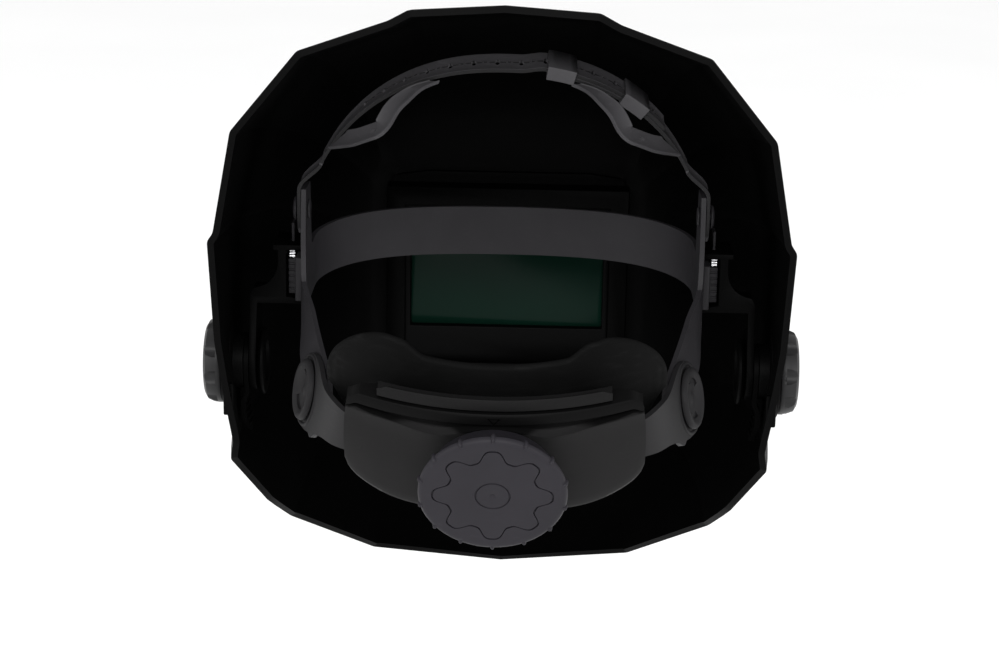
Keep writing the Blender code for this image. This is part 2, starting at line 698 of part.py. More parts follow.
def make_slide_latch(name, side):
    """Sprung block between the track and the arm, with a thumb spike on top."""
    low, high = ARM_SHELF_HEIGHT + ARM_SHELF_WALL + GAP, FLANGE_BOTTOM - GAP
    inner, outer = side * (TRACK_OUTER + GAP), side * (COLUMN_INNER - GAP)
    half = LATCH_LENGTH / 2
    block = bmesh.new()
    add_box(block, (min(inner, outer), ARM_MIDDLE - half, low),
            (max(inner, outer), ARM_MIDDLE + half, high))
    latch = piece(name, block, STEEL)
    spike = latch_spike(side)
    thumb = bmesh.new()
    add_box(thumb, (min(spike), ARM_MIDDLE - half / 2, low + 0.5 * (high - low)),
            (max(spike), ARM_MIDDLE + half / 2, FLANGE_BOTTOM + LATCH_SPIKE_HEIGHT))
    boolean(latch, cutter(name + "_spike", thumb), "UNION")


def make_slide_track(name, side):
    low = TRACK_MIDDLE - TRACK_HEIGHT / 2
    rail = bmesh.new()
    inner, outer = side * TRACK_INNER, side * TRACK_OUTER
    add_box(rail, (min(inner, outer), ARM_MIDDLE - TRACK_LENGTH / 2, low),
            (max(inner, outer), ARM_MIDDLE + TRACK_LENGTH / 2, low + TRACK_HEIGHT))
    piece(name, rail, PLASTIC_GREY)


# Headband


def band_height(y):
    """Middle line of the band: a little up to the brow, sloping down to the back."""
    if y < -BAND_FLAT_RUN:
        return lerp(BAND_SIDE_HEIGHT, BAND_FRONT_HEIGHT,
                    smooth_step(-y, BAND_FLAT_RUN, BAND_FLAT_RUN + BAND_FRONT_LENGTH))
    return BAND_SIDE_HEIGHT - BAND_REAR_SLOPE * max(y, 0.0)


def band_width(y, z):
    """Half width of the band's inner face beside and behind the track."""
    share = max(y - BAND_FLAT_RUN, 0.0) / (BAND_END - BAND_FLAT_RUN)
    lean = BAND_LEAN * smooth_step(y, BAND_LEAN_START, BAND_LEAN_FULL)
    return BAND_HALF_WIDTH - BAND_TAPER * share ** BAND_TAPER_POWER - lean * (z - band_height(y))


def band_normal(y, z):
    """Outward normal of the left side of the band."""
    step = 0.002
    along = band_width(y + step, z) - band_width(y - step, z)
    up = band_width(y, z + step) - band_width(y, z - step)
    return Vector((2 * step, -along, -up)).normalized()


def band_stations():
    """Half of the band, from the brow to the tail: width or none, setback, low and top."""
    made = []
    power = 2.0 / 2.2
    half = BAND_HEIGHT / 2
    for step in range(10):
        angle = math.pi / 2 * step / 10
        y = -BAND_FLAT_RUN - BAND_FRONT_LENGTH * math.cos(angle) ** power
        x = BAND_HALF_WIDTH * math.sin(angle) ** power
        made.append((x, y, band_height(y) - half, band_height(y) + half))
    edge = LUG_WIDTH / 2
    blend = [LUG_WIDTH * share / 9 for share in (3, 2, 1, 0)]
    places = [-BAND_FLAT_RUN] + [LUG_SETBACK - edge - away for away in blend]
    places += [LUG_SETBACK + edge + away for away in reversed(blend)]
    run = BAND_END - LUG_SETBACK - edge - blend[0]
    shares = (0.92, 0.84, 0.75, 0.65, 0.55, 0.48, 0.41, 0.34, 0.27, 0.20, 0.14, 0.09, 0.05, 0.02, 0.0)
    places += [BAND_END - run * share for share in shares]
    for y in places:
        middle = band_height(y)
        end = min((BAND_END - y) / half, 1.0)
        span = half * max(superellipse(1.0 - end, 2.0), 0.30)
        away = abs(y - LUG_SETBACK) - edge
        lug = (LUG_TOP - half - middle) * (1.0 - smooth_step(away, 0.0, blend[0]))
        ear = EAR_DROP * (1.0 - smooth_step(abs(y - DISC_SETBACK), 0.35 * EAR_HALF_LENGTH, EAR_HALF_LENGTH))
        made.append((None, y, middle - span - ear, middle + span + lug))
    return made


def make_headband():
    half = []
    for x, y, low, top in band_stations():
        row = []
        for z in (low, top):
            row.append(Vector((band_width(y, z) if x is None else x, y, z)))
        half.append(row)
    mirrored = [[Vector((-p.x, p.y, p.z)) for p in row] for row in reversed(half[1:])]
    band = piece("headband", sheet(mirrored + half, flip=True), PLASTIC_GREY)
    solidify(band, BAND_THICKNESS, 1.0)

    cuts = bmesh.new()
    for side in SIDES.values():
        normal, centre = disc_axis(side)
        add_cylinder(cuts, DISC_STEM_RADIUS + BORE_CLEARANCE, centre - normal * 0.012,
                     centre + normal * 0.012, 16)
        pin = Vector((side * BAND_HALF_WIDTH, LUG_SETBACK, PIN_HEIGHT))
        add_cylinder(cuts, PIN_STEM_RADIUS + BORE_CLEARANCE, pin - Vector((0.01, 0, 0)),
                     pin + Vector((0.01, 0, 0)), 12)
        z = band_height(BAND_SLOT_SETBACK) - BAND_SLOT_DROP
        x = side * band_width(BAND_SLOT_SETBACK, z)
        add_box(cuts, (x - 0.008, BAND_SLOT_SETBACK - BAND_SLOT_WIDTH / 2, z - BAND_SLOT_LENGTH / 2),
                (x + 0.008, BAND_SLOT_SETBACK + BAND_SLOT_WIDTH / 2, z + BAND_SLOT_LENGTH / 2))
    boolean(band, cutter("headband_cuts", cuts), "DIFFERENCE")


# Rear arms and joint discs


def disc_axis(side):
    """Outward axis of a joint disc and the point where it leaves the band's inner face."""
    normal = band_normal(DISC_SETBACK, DISC_HEIGHT)
    normal.x *= side
    return normal, Vector((side * band_width(DISC_SETBACK, DISC_HEIGHT), DISC_SETBACK, DISC_HEIGHT))


def cradle_to_axis(point):
    turn = Matrix.Rotation(math.radians(-CRADLE_TILT), 4, "X")
    return Matrix.Translation((0.0, CRADLE_REACH, CRADLE_RISE)) @ turn @ Vector(point)


def make_rear_arm(name, side):
    """Strip from the eye round the disc to inside the end of the ratchet cover."""
    normal, centre = disc_axis(1.0)
    up_start = (Vector((0, 0, 1)) - normal * normal.z).normalized()
    forward = up_start.cross(normal).normalized()
    seat = centre + normal * (BAND_THICKNESS + GAP)
    end_x = COVER_HALF_WIDTH - REAR_ARM_TUCK
    drop = COVER_RADIUS - math.sqrt(COVER_RADIUS ** 2 - end_x ** 2)
    end = cradle_to_axis((end_x, -drop - 0.6 * COVER_DEPTH, REAR_ARM_END_RISE))
    inner = cradle_to_axis((end_x - 2 * REAR_ARM_TUCK, -drop + 0.4 * COVER_DEPTH, REAR_ARM_END_RISE))
    turn_in = (inner - end).normalized()
    up_end = cradle_to_axis((0, 0, 1)) - cradle_to_axis((0, 0, 0))
    reach = (end - seat).length
    stations = []
    eye = REAR_ARM_EYE_RADIUS
    for step in range(5):
        along = -eye * math.cos(math.pi / 2 * step / 5)
        half = math.sqrt(max(eye ** 2 - along ** 2, (0.12 * eye) ** 2))
        stations.append((seat + forward * along, up_start, half))
    samples = 12
    for step in range(samples + 1):
        t = step / samples
        s = 1.0 - t
        point = (seat * s ** 3 + (seat + forward * 0.35 * reach) * (3 * s * s * t)
                 + (end - turn_in * 0.30 * reach) * (3 * s * t * t) + end * t ** 3)
        up = lerp(up_start, up_end, smooth_step(t, 0.0, 1.0)).normalized()
        half = lerp(eye, REAR_ARM_HALF_WIDTH, smooth_step(t, 0.05, 0.55))
        half = lerp(half, REAR_ARM_TIP_HALF_WIDTH, smooth_step(t, 0.65, 0.90))
        stations.append((point, up, half))
    rows = []
    for point, up, half in stations:
        spots = [point + up * half * across for across in (-1.0, 0.0, 1.0)]
        rows.append([Vector((side * spot.x, spot.y, spot.z)) for spot in spots])
    arm = piece(name, sheet(rows, flip=side > 0), PLASTIC_GREY)
    solidify(arm, REAR_ARM_THICKNESS, 1.0)
    bore = bmesh.new()
    normal, centre = disc_axis(side)
    add_cylinder(bore, DISC_STEM_RADIUS + BORE_CLEARANCE, centre - normal * 0.005,
                 centre + normal * 0.02, 16)
    boolean(arm, cutter(name + "_bore", bore), "DIFFERENCE")


def make_disc(name, side):
    """Dished button outside the arm, on a stem with a flange inside the band."""
    normal, centre = disc_axis(side)
    stack = BAND_THICKNESS + REAR_ARM_THICKNESS + 4 * GAP
    radius = DISC_RADIUS
    profile = ((0.0, stack + 0.55 * DISC_DISH), (0.35 * radius, stack + 0.50 * DISC_DISH),
               (0.80 * radius, stack + DISC_DISH), (0.93 * radius, stack + 0.95 * DISC_DISH),
               (radius, stack + 0.55 * DISC_DISH), (radius, stack), (DISC_STEM_RADIUS, stack),
               (DISC_STEM_RADIUS, -GAP), (0.55 * radius, -GAP), (0.50 * radius, -4 * GAP), (0.0, -4 * GAP))
    turned(name, profile, PLASTIC_GREY, TILT_AXIS, centre, normal.to_track_quat("Z", "Y").to_euler(), 18)


# Nape cradle: ratchet cover, back plate, pad and knob


def on_arc(radius, across, offset, up):
    """Point on a cylinder whose middle line touches the cradle plane."""
    turn = across / radius
    return Vector((radius * math.sin(turn), offset - radius * (1.0 - math.cos(turn)), up))


def cover_bottom(share):
    """Drop of the cover's lower edge: level in the middle, rounded up to its ends."""
    corner = max(abs(share) - COVER_CORNER_SHARE, 0.0) / (1.0 - COVER_CORNER_SHARE)
    rise = COVER_CORNER_RISE * (1.0 - superellipse(corner, 2.0))
    return rise - COVER_BOTTOM * (1.0 - COVER_END_RISE * max(2.0 * abs(share) - 1.0, 0.0) ** 2.2)


def cover_top(share):
    rise = COVER_MIDDLE_RISE * (1.0 - share ** 2)
    return COVER_TOP + rise - COVER_END_DROP * smooth_step(abs(share), 0.92, 1.0)


def cover_point(across, offset, up):
    """Point on the cover, whose ends draw in a little towards the top."""
    drawn = 1.0 - COVER_SIDE_BOW * max(up / COVER_TOP, 0.0) ** 2
    return on_arc(COVER_RADIUS, across * drawn, offset, up)


def make_ratchet_cover():
    rows = []
    samples = 16
    for step in range(samples + 1):
        share = -1.0 + 2.0 * step / samples
        across = share * COVER_HALF_WIDTH
        top = cover_top(share)
        low = cover_bottom(share)
        ledge = top - COVER_STEP_HEIGHT
        reach = COVER_DEPTH * (1.0 - COVER_END_OPEN * smooth_step(abs(share), 0.75, 1.0))
        section = ((-reach, top), (0.0, top), (0.0, ledge), (-COVER_STEP, ledge - 0.2 * COVER_STEP_HEIGHT),
                   (-0.25 * COVER_STEP, ledge - 2.1 * COVER_STEP_HEIGHT), (0.0, 0.25 * low),
                   (-0.10 * COVER_STEP, 0.7 * low), (-0.9 * COVER_STEP, 0.96 * low),
                   (-2.0 * COVER_STEP, low), (-COVER_DEPTH, low))
        rows.append([cover_point(across, offset, up) for offset, up in section])
    cover = piece("ratchet_cover", sheet(rows, flip=True), PLASTIC_BLACK, CRADLE)
    solidify(cover, COVER_WALL, -1.0)
    bore = bmesh.new()
    add_cylinder(bore, BOLT_RADIUS + BORE_CLEARANCE, (0, -COVER_DEPTH, RATCHET_RISE), (0, 0.01, RATCHET_RISE))
    boolean(cover, cutter("cover_bore", bore, CRADLE), "DIFFERENCE")


def make_ratchet_back():
    """Curved plate behind the cover, whose top stands up as a rail."""
    rows = []
    samples = 14
    offset = -COVER_DEPTH - GAP
    for step in range(samples + 1):
        share = -1.0 + 2.0 * step / samples
        across = share * BACK_PLATE_HALF_WIDTH
        cover_share = across / COVER_HALF_WIDTH
        low = 0.8 * cover_bottom(cover_share)
        ends = BACK_PLATE_END_DROP * smooth_step(abs(share), 0.9, 1.0)
        rail = cover_top(cover_share) + 3 * GAP
        face = -BACK_PLATE_SETBACK
        section = ((offset, low + ends), (offset, 0.5 * low), (offset, 0.4 * COVER_TOP),
                   (offset, rail), (face, rail + GAP), (face, rail + BACK_PLATE_STAND - ends))
        rows.append([on_arc(COVER_RADIUS, across, away, up) for away, up in section])
    plate = piece("ratchet_back", sheet(rows), PLASTIC_BLACK, CRADLE)
    solidify(plate, BACK_PLATE_THICKNESS, -1.0)


def pad_top(across):
    """Upper edge of the pad: a lobe each side, a shallow saddle between them."""
    lobe = PAD_LOBE_RISE * smooth_step(across, PAD_LOBE_START, PAD_LOBE_FULL)
    corner = max(across - PAD_HALF_WIDTH + PAD_CORNER, 0.0) / PAD_CORNER
    return lerp(PAD_END_HEIGHT, PAD_TOP + lobe, superellipse(corner, 1.6))


def make_nape_pad():
    rows = []
    samples = 15
    offset = -COVER_DEPTH - BACK_PLATE_THICKNESS - 2 * GAP
    for step in range(-samples, samples + 1):
        across = PAD_HALF_WIDTH * math.sin(math.pi / 2 * step / samples)
        top = pad_top(abs(across))
        low = lerp(-PAD_BOTTOM, PAD_END_LOW, smooth_step(abs(across), 0.70 * PAD_HALF_WIDTH, PAD_HALF_WIDTH))
        depth = PAD_RADIUS - math.sqrt(PAD_RADIUS ** 2 - across ** 2)
        rows.append([Vector((across, offset - depth, lerp(low, top, share))) for share in (0.0, 0.4, 0.8, 1.0)])
    pad = piece("nape_pad", sheet(rows), RUBBER, CRADLE)
    solidify(pad, PAD_THICKNESS, -1.0)


def make_ratchet_knob():
    radius, depth, hub = RATCHET_RADIUS, RATCHET_DEPTH, RATCHET_HUB_RADIUS
    profile = ((0.0, depth - 0.0010), (hub - 0.0003, depth), (hub, depth - 0.0006), (hub + 0.0003, depth),
               (0.90 * radius, depth), (0.98 * radius, depth - 0.3 * RATCHET_EDGE),
               (radius, depth - 0.7 * RATCHET_EDGE), (radius, depth - RATCHET_EDGE),
               (RATCHET_BASE_SHARE * radius, 0.0), (BOLT_RADIUS, 0.0),
               (BOLT_RADIUS, -0.6 * COVER_DEPTH), (0.0, -0.6 * COVER_DEPTH))
    base = GAP
    knob = turned("ratchet_knob", profile, PLASTIC_GREY, CRADLE, (0, base, RATCHET_RISE),
                  (-math.pi / 2, 0.0, 0.0), 32)
    middle = Matrix.Translation((0, base, RATCHET_RISE))
    relief = bmesh.new()
    for step in range(RATCHET_RIB_COUNT):
        turn = Matrix.Rotation(2 * math.pi * (step + 0.5) / RATCHET_RIB_COUNT, 4, "Y")
        rib = Matrix.Diagonal((RATCHET_RIB_SIZE, 0.9 * RATCHET_EDGE, RATCHET_RIB_SIZE, 1.0))
        seat = Matrix.Translation((radius - 0.25 * RATCHET_RIB_SIZE, depth - 0.6 * RATCHET_EDGE, 0.0))
        bmesh.ops.create_cube(relief, size=1.0, matrix=middle @ turn @ seat @ rib)
    boolean(knob, cutter("ratchet_ribs", relief, CRADLE), "UNION")
    outline = []
    count = RATCHET_LOBE_COUNT * 6
    for step in range(count):
        angle = 2 * math.pi * step / count
        wave = 0.5 + 0.5 * math.cos(RATCHET_LOBE_COUNT * angle)
        reach = lerp(RATCHET_STAR_INNER, RATCHET_STAR_OUTER, wave)
        outline.append((reach * math.cos(angle), reach * math.sin(angle)))
    facing = middle @ Matrix.Translation((0, depth - GAP, 0)) @ Matrix.Rotation(-math.pi / 2, 4, "X")
    star = bmesh.new()
    add_prism(star, outline, facing, RATCHET_STAR_RELIEF + GAP)
    raised = cutter("ratchet_star", star, CRADLE)
    centre = bmesh.new()
    middle_hole = facing @ Vector((0, 0, -0.001)), facing @ Vector((0, 0, 0.009))
    add_cylinder(centre, 1.25 * hub, *middle_hole, 20)
    boolean(raised, cutter("ratchet_hub", centre, CRADLE), "DIFFERENCE")
    boolean(knob, raised, "UNION")


# Crown straps


def arch_half_width(height):
    share = (height - ARCH_SPRING) / (CROWN_HEIGHT - ARCH_SPRING)
    return ARCH_HALF_WIDTH * superellipse(share, ARCH_EXPONENT)


def arch_height(x):
    return ARCH_SPRING + (CROWN_HEIGHT - ARCH_SPRING) * superellipse(x / ARCH_HALF_WIDTH, ARCH_EXPONENT)


def arch_point(x, lift):
    """Inner face of the crown arch at a width, raised along its normal by lift."""
    step = 0.0004
    before, after = max(abs(x) - step, 0.0), min(abs(x) + step, ARCH_HALF_WIDTH)
    slope = (arch_height(after) - arch_height(before)) / (after - before)
    normal = Vector((-slope * (1.0 if x >= 0 else -1.0), 0.0, 1.0)).normalized()
    z = arch_height(x)
    share = min(max((z - LUG_TOP) / (CROWN_HEIGHT - LUG_TOP), 0.0), 1.0)
    return Vector((x, lerp(LUG_SETBACK, CROWN_SETBACK, share), z)) + normal * lift, normal


def foot_points(side):
    """Strap foot, outside the headband lug, up to where it bends in over the arch."""
    outer = BAND_HALF_WIDTH + BAND_THICKNESS + GAP
    knee_top = LUG_TOP + STRAP_KNEE_LENGTH
    target = arch_half_width(knee_top)
    points = [Vector((side * outer, LUG_SETBACK, z)) for z in (STRAP_FOOT, LUG_TOP)]
    for step in range(1, 4):
        x = lerp(outer, target, smooth_step(step / 4, 0.0, 1.0))
        points.append(Vector((side * x, LUG_SETBACK, lerp(LUG_TOP, knee_top, step / 4))))
    return points, target


def strap_across(height):
    """Width direction of the front strap: level at the lugs, leaning back over the crown."""
    share = min(max((height - LUG_TOP) / (CROWN_HEIGHT - LUG_TOP), 0.0), 1.0)
    lean = math.radians(STRAP_LEAN) * share
    return Vector((0.0, math.cos(lean), -math.sin(lean)))


def make_strap(name, points, flip):
    rows = []
    for point in points:
        back = strap_across(point.z) * STRAP_WIDTH / 2
        rows.append([point - back, point + back])
    strap = piece(name, sheet(rows, flip=flip), PLASTIC_GREY)
    solidify(strap, STRAP_THICKNESS, 1.0)
    return strap


def lift_at(x):
    """Extra height of the upper strap where it lies over the other one."""
    return (STRAP_THICKNESS + GAP) * smooth_step(-x, STRAP_OVERLAP_START, STRAP_TAIL_START - 0.001)


def arch_steps(start, end, count):
    """Widths spread evenly along the arch between two widths."""
    first = math.asin(max(min(start / ARCH_HALF_WIDTH, 1.0), -1.0))
    last = math.asin(max(min(end / ARCH_HALF_WIDTH, 1.0), -1.0))
    return [ARCH_HALF_WIDTH * math.sin(lerp(first, last, step / count)) for step in range(count + 1)]


def star_outline(size):
    """Four-pointed hole with hollow sides."""
    outline = []
    for step in range(8):
        angle = math.pi / 4 * step
        reach = size / 2 if step % 2 == 0 else 0.22 * size
        outline.append((reach * math.cos(angle), reach * math.sin(angle)))
    return outline


def arch_frame(x, lift):
    """Frame on the arch: along it, across it and out from it."""
    point, normal = arch_point(x, lift)
    across = strap_across(point.z)
    along = across.cross(normal).normalized()
    return Matrix.Translation(point) @ Matrix((along, across, along.cross(across))).transposed().to_4x4()


def arch_places(start, pitch, count):
    """Widths stepped along the arch by a pitch, from the left over the top to the right."""
    made = []
    x = start
    for _ in range(count):
        made.append(x)
        near = arch_point(x, 0.0)[0]
        step = 0.0005
        while (arch_point(x - step, 0.0)[0] - near).length < pitch:
            step += 0.0001
        x -= step
    return made


def make_crown_straps():
    foot, width = foot_points(1.0)
    arch = [arch_point(x, lift_at(x))[0] for x in arch_steps(width, -STRAP_OVERLAP_END, 32)]
    left = make_strap("crown_strap_left", foot + arch, False)
    holes = bmesh.new()
    for x in arch_places(STRAP_FIRST_HOLE, STRAP_HOLE_PITCH, STRAP_HOLE_COUNT):
        frame = arch_frame(x, lift_at(x) - STRAP_THICKNESS)
        add_prism(holes, star_outline(STRAP_HOLE_SIZE), frame, 3 * STRAP_THICKNESS)
    pin_cut(holes, 1.0)
    boolean(left, cutter("strap_left_holes", holes), "DIFFERENCE")

    foot, width = foot_points(-1.0)
    arch = [arch_point(x, 0.0)[0] for x in arch_steps(-width, -STRAP_TAIL_START, 16)]
    right = make_strap("crown_strap_right", foot + arch, True)
    holes = bmesh.new()
    pin_cut(holes, -1.0)
    boolean(right, cutter("strap_right_holes", holes), "DIFFERENCE")


def pin_cut(bm, side):
    pin = Vector((side * (BAND_HALF_WIDTH + 0.003), LUG_SETBACK, PIN_HEIGHT))
    reach = Vector((0.008, 0, 0))
    add_cylinder(bm, PIN_STEM_RADIUS + BORE_CLEARANCE, pin - reach, pin + reach, 12)


def make_pin(name, side):
    stack = BAND_THICKNESS + STRAP_THICKNESS + 3 * GAP
    profile = ((0.0, stack + PIN_HEAD_DEPTH), (0.6 * PIN_HEAD_RADIUS, stack + PIN_HEAD_DEPTH),
               (PIN_HEAD_RADIUS, stack + 0.5 * PIN_HEAD_DEPTH), (PIN_HEAD_RADIUS, stack),
               (PIN_STEM_RADIUS, stack), (PIN_STEM_RADIUS, -GAP), (1.7 * PIN_STEM_RADIUS, -GAP),
               (1.5 * PIN_STEM_RADIUS, -3 * GAP), (0.0, -3 * GAP))
    turned(name, profile, PLASTIC_GREY, TILT_AXIS, (side * BAND_HALF_WIDTH, LUG_SETBACK, PIN_HEIGHT),
           (0.0, side * math.pi / 2, 0.0), 12)


def make_loop(name, place):
    """Flat sleeve round both straps, bent along the arch with them."""
    reach = LOOP_LENGTH * arch_point(-place, 0.0)[1].z
    high = 2 * STRAP_THICKNESS + 2 * GAP
    half = STRAP_WIDTH / 2 + GAP
    wall = LOOP_WALL
    bm = bmesh.new()
    rings = []
    for step in range(LOOP_BEND_COUNT + 1):
        frame = arch_frame(-place + reach * (step / LOOP_BEND_COUNT - 0.5), 0.0)
        ring = []
        for width, low, top in ((half + wall, -GAP - wall, high + wall), (half, -GAP, high)):
            corners = ((-width, low), (width, low), (width, top), (-width, top))
            ring.append([bm.verts.new(frame @ Vector((0.0, y, z))) for y, z in corners])
        rings.append(ring)
    for here in range(4):
        after = (here + 1) % 4
        for before, behind in zip(rings, rings[1:]):
            for layer in (0, 1):
                corners = (before[layer][here], before[layer][after], behind[layer][after], behind[layer][here])
                bm.faces.new(corners)
        for end in (rings[0], rings[-1]):
            bm.faces.new((end[0][here], end[0][after], end[1][after], end[1][here]))
    bmesh.ops.recalc_face_normals(bm, faces=bm.faces)
    piece(name, bm, PLASTIC_GREY)


# Rear crown strap: half of its centre line, as shares of the arch half width,
# the crown setback and the crown height
REAR_STRAP_ROUTE = (
    ("top", 0.000, 1.880, 0.990),
    ("crown_run", 0.212, 1.880, 0.978),
    ("merge", 0.424, 1.930, 0.937),
    ("upright", 0.527, 2.333, 0.890),
    ("window_corner", 0.584, 2.600, 0.824),
    ("window_run", 0.718, 1.767, 0.776),
    ("junction", 0.853, 1.067, 0.750),
)


def make_rear_strap():
    """Narrow strap behind the arch, ending against its rear edge."""
    half = [Vector((x * ARCH_HALF_WIDTH, y * CROWN_SETBACK, z * CROWN_HEIGHT))
            for _, x, y, z in REAR_STRAP_ROUTE]
    route = [Vector((-p.x, p.y, p.z)) for p in reversed(half[1:])] + half
    points = smooth_route(route, 4)
    centre = Vector((0.0, -2.0 * CROWN_SETBACK, 0.25 * CROWN_HEIGHT))
    rows = []
    for here, point in enumerate(points):
        before = points[max(here - 1, 0)]
        after = points[min(here + 1, len(points) - 1)]
        across = (point - centre).cross(after - before).normalized()
        if across.y < 0:
            across = -across
        share = abs(point.x) / ARCH_HALF_WIDTH
        spread = smooth_step(share, REAR_STRAP_SPREAD_START, REAR_STRAP_SPREAD_END)
        width = lerp(REAR_STRAP_TOP_WIDTH, REAR_STRAP_WIDTH, spread)
        rows.append([point + across * width * share for share in (-0.5, 0.5)])
    strap = piece("crown_strap_rear", sheet(rows, flip=True), PLASTIC_GREY)
    solidify(strap, REAR_STRAP_THICKNESS, 1.0)

    lean = (CROWN_SETBACK - LUG_SETBACK) / (CROWN_HEIGHT - LUG_TOP)
    edge = STRAP_WIDTH / 2 + GAP
    low, high = LUG_TOP - RIM_TOP / 3, CROWN_HEIGHT + RIM_TOP / 3
    turn = Matrix(((0, 0, 1, 0), (1, 0, 0, 0), (0, 1, 0, 0), (0, 0, 0, 1)))
    side_view = Matrix.Translation((-2 * ARCH_HALF_WIDTH, 0, 0)) @ turn
    trim = bmesh.new()
    far = -FACE_REACH
    add_prism(trim, [(far, low), (LUG_SETBACK + lean * (low - LUG_TOP) + edge, low),
                     (LUG_SETBACK + lean * (high - LUG_TOP) + edge, high), (far, high)],
              side_view, 4 * ARCH_HALF_WIDTH)
    boolean(strap, cutter("rear_strap_trim", trim), "DIFFERENCE")


def smooth_route(points, samples):
    """Catmull-Rom curve through the points."""
    made = []
    ends = [points[0] * 2 - points[1]] + points + [points[-1] * 2 - points[-2]]
    for a, b, c, d in zip(ends, ends[1:], ends[2:], ends[3:]):
        for step in range(samples):
            t = step / samples
            made.append(0.5 * ((2 * b) + (c - a) * t + (2 * a - 5 * b + 4 * c - d) * t ** 2
                               + (3 * b - a - 3 * c + d) * t ** 3))
    made.append(points[-1])
    return made


make_shell()
make_window()
make_headband()
make_crown_straps()
make_rear_strap()
make_loop("strap_loop_inner", LOOP_INNER_PLACE)
make_loop("strap_loop_outer", LOOP_OUTER_PLACE)
make_ratchet_cover()
make_ratchet_back()
make_nape_pad()
make_ratchet_knob()
for side_name, side_sign in SIDES.items():
    make_tension_knob("tension_knob_" + side_name, side_sign)
    make_pivot_bolt("pivot_bolt_" + side_name, side_sign)
    make_angle_lever("angle_lever_" + side_name, side_sign)
    make_side_arm("side_arm_" + side_name, side_sign)
    make_slide_track("slide_track_" + side_name, side_sign)
    make_slide_latch("slide_latch_" + side_name, side_sign)
    make_rear_arm("rear_arm_" + side_name, side_sign)
    make_disc("disc_pivot_" + side_name, side_sign)
    make_pin("crown_pin_" + side_name, side_sign)
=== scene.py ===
"""Looks of the welding helmet: moulded shell, ratchet headgear, studio and camera."""
import math

import bmesh
import bpy
from mathutils import Matrix, Vector


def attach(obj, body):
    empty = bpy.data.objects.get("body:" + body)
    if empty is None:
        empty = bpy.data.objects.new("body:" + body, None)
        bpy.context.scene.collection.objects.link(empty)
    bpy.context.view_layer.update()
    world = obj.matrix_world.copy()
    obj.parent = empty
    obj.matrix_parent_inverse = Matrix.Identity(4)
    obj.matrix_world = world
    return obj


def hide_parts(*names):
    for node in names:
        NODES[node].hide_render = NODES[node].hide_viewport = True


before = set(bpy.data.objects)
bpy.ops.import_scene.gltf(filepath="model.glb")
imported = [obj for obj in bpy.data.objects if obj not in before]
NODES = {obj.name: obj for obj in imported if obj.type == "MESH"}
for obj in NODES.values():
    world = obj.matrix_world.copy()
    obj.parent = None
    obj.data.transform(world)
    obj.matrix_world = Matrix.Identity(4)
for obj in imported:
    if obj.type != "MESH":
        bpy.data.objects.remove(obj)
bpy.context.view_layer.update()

MM = 0.001
TILT_AXIS = Vector((0.0, -15.0, -134.0)) * MM
TO_ROW = Matrix.Translation(TILT_AXIS)
CRADLE = (Matrix.Translation(TILT_AXIS + Vector((0.0, 137.0, -2.2)) * MM)
          @ Matrix.Rotation(math.radians(-24.0), 4, "X"))
HEADGEAR, CARRIAGE, SHELL = "headgear", "carriage", "shell"
SIDES = {"left": 1.0, "right": -1.0}
# Height over the cradle above which the ratchet cover is painted darker: painted shade of its tilted top band
# and of the hollow under its ridge.
COVER_SHADE_LINE = 21.5 * MM


# Shader maths


class Value:
    """A socket that can be added, subtracted and multiplied."""

    def __init__(self, paint, socket):
        self.paint = paint
        self.socket = socket

    def sum(self, operation, first, second):
        return self.paint.node("ShaderNodeMath", {"operation": operation}, {0: first, 1: second})

    def __add__(self, other):
        return self.sum("ADD", self, other)

    __radd__ = __add__

    def __mul__(self, other):
        return self.sum("MULTIPLY", self, other)

    def __sub__(self, other):
        return self.sum("SUBTRACT", self, other)

    def __rsub__(self, other):
        return self.sum("SUBTRACT", other, self)

    def step(self, start, end):
        return self.paint.node("ShaderNodeMapRange", {"interpolation_type": "SMOOTHSTEP"},
                               {"Value": self, "From Min": start, "From Max": end})


class Paint:
    """A material and the nodes that shape it."""

    def __init__(self, name, **constants):
        self.material = bpy.data.materials.new(name)
        self.material.use_nodes = True
        self.tree = self.material.node_tree
        self.shader = self.tree.nodes["Principled BSDF"]
        for socket, value in constants.items():
            self.shader.inputs[socket.replace("_", " ")].default_value = value
        self.place = self.node("ShaderNodeTexCoord", {}, {}, "Object")

    def node(self, kind, settings, values, output=0):
        made = self.tree.nodes.new(kind)
        for name, setting in settings.items():
            setattr(made, name, setting)
        for name, value in values.items():
            socket = made.inputs[name]
            if isinstance(value, Value):
                self.tree.links.new(value.socket, socket)
            else:
                socket.default_value = value
        return Value(self, made.outputs[output])

    def noise(self, scale, detail=2.0, roughness=0.5, where=None):
        return self.node("ShaderNodeTexNoise", {}, {"Vector": where or self.place, "Scale": scale,
                                                    "Detail": detail, "Roughness": roughness})

    def stretched(self, amounts):
        return self.node("ShaderNodeVectorMath", {"operation": "MULTIPLY"}, {0: self.place, 1: amounts})

    def along(self, where, direction):
        values = {0: where, 1: direction}
        return self.node("ShaderNodeVectorMath", {"operation": "DOT_PRODUCT"}, values, "Value")

    def specks(self, scale, size):
        far = self.node("ShaderNodeTexVoronoi", {}, {"Vector": self.place, "Scale": scale}, "Distance")
        return 1.0 - far.step(size * 0.5, size)

    def mix(self, share, first, second):
        kinds = {"data_type": "RGBA"}
        colours = {0: share, 6: first, 7: second}
        return self.node("ShaderNodeMix", kinds, colours, 2)

    def finish(self, colour=None, roughness=None, height=None, depth=0.0002, strength=0.5):
        for name, value in (("Base Color", colour), ("Roughness", roughness)):
            if value is not None:
                self.tree.links.new(value.socket, self.shader.inputs[name])
        if height is not None:
            values = {"Height": height, "Distance": depth, "Strength": strength}
            bump = self.node("ShaderNodeBump", {}, values)
            self.tree.links.new(bump.socket, self.shader.inputs["Normal"])
        return self.material


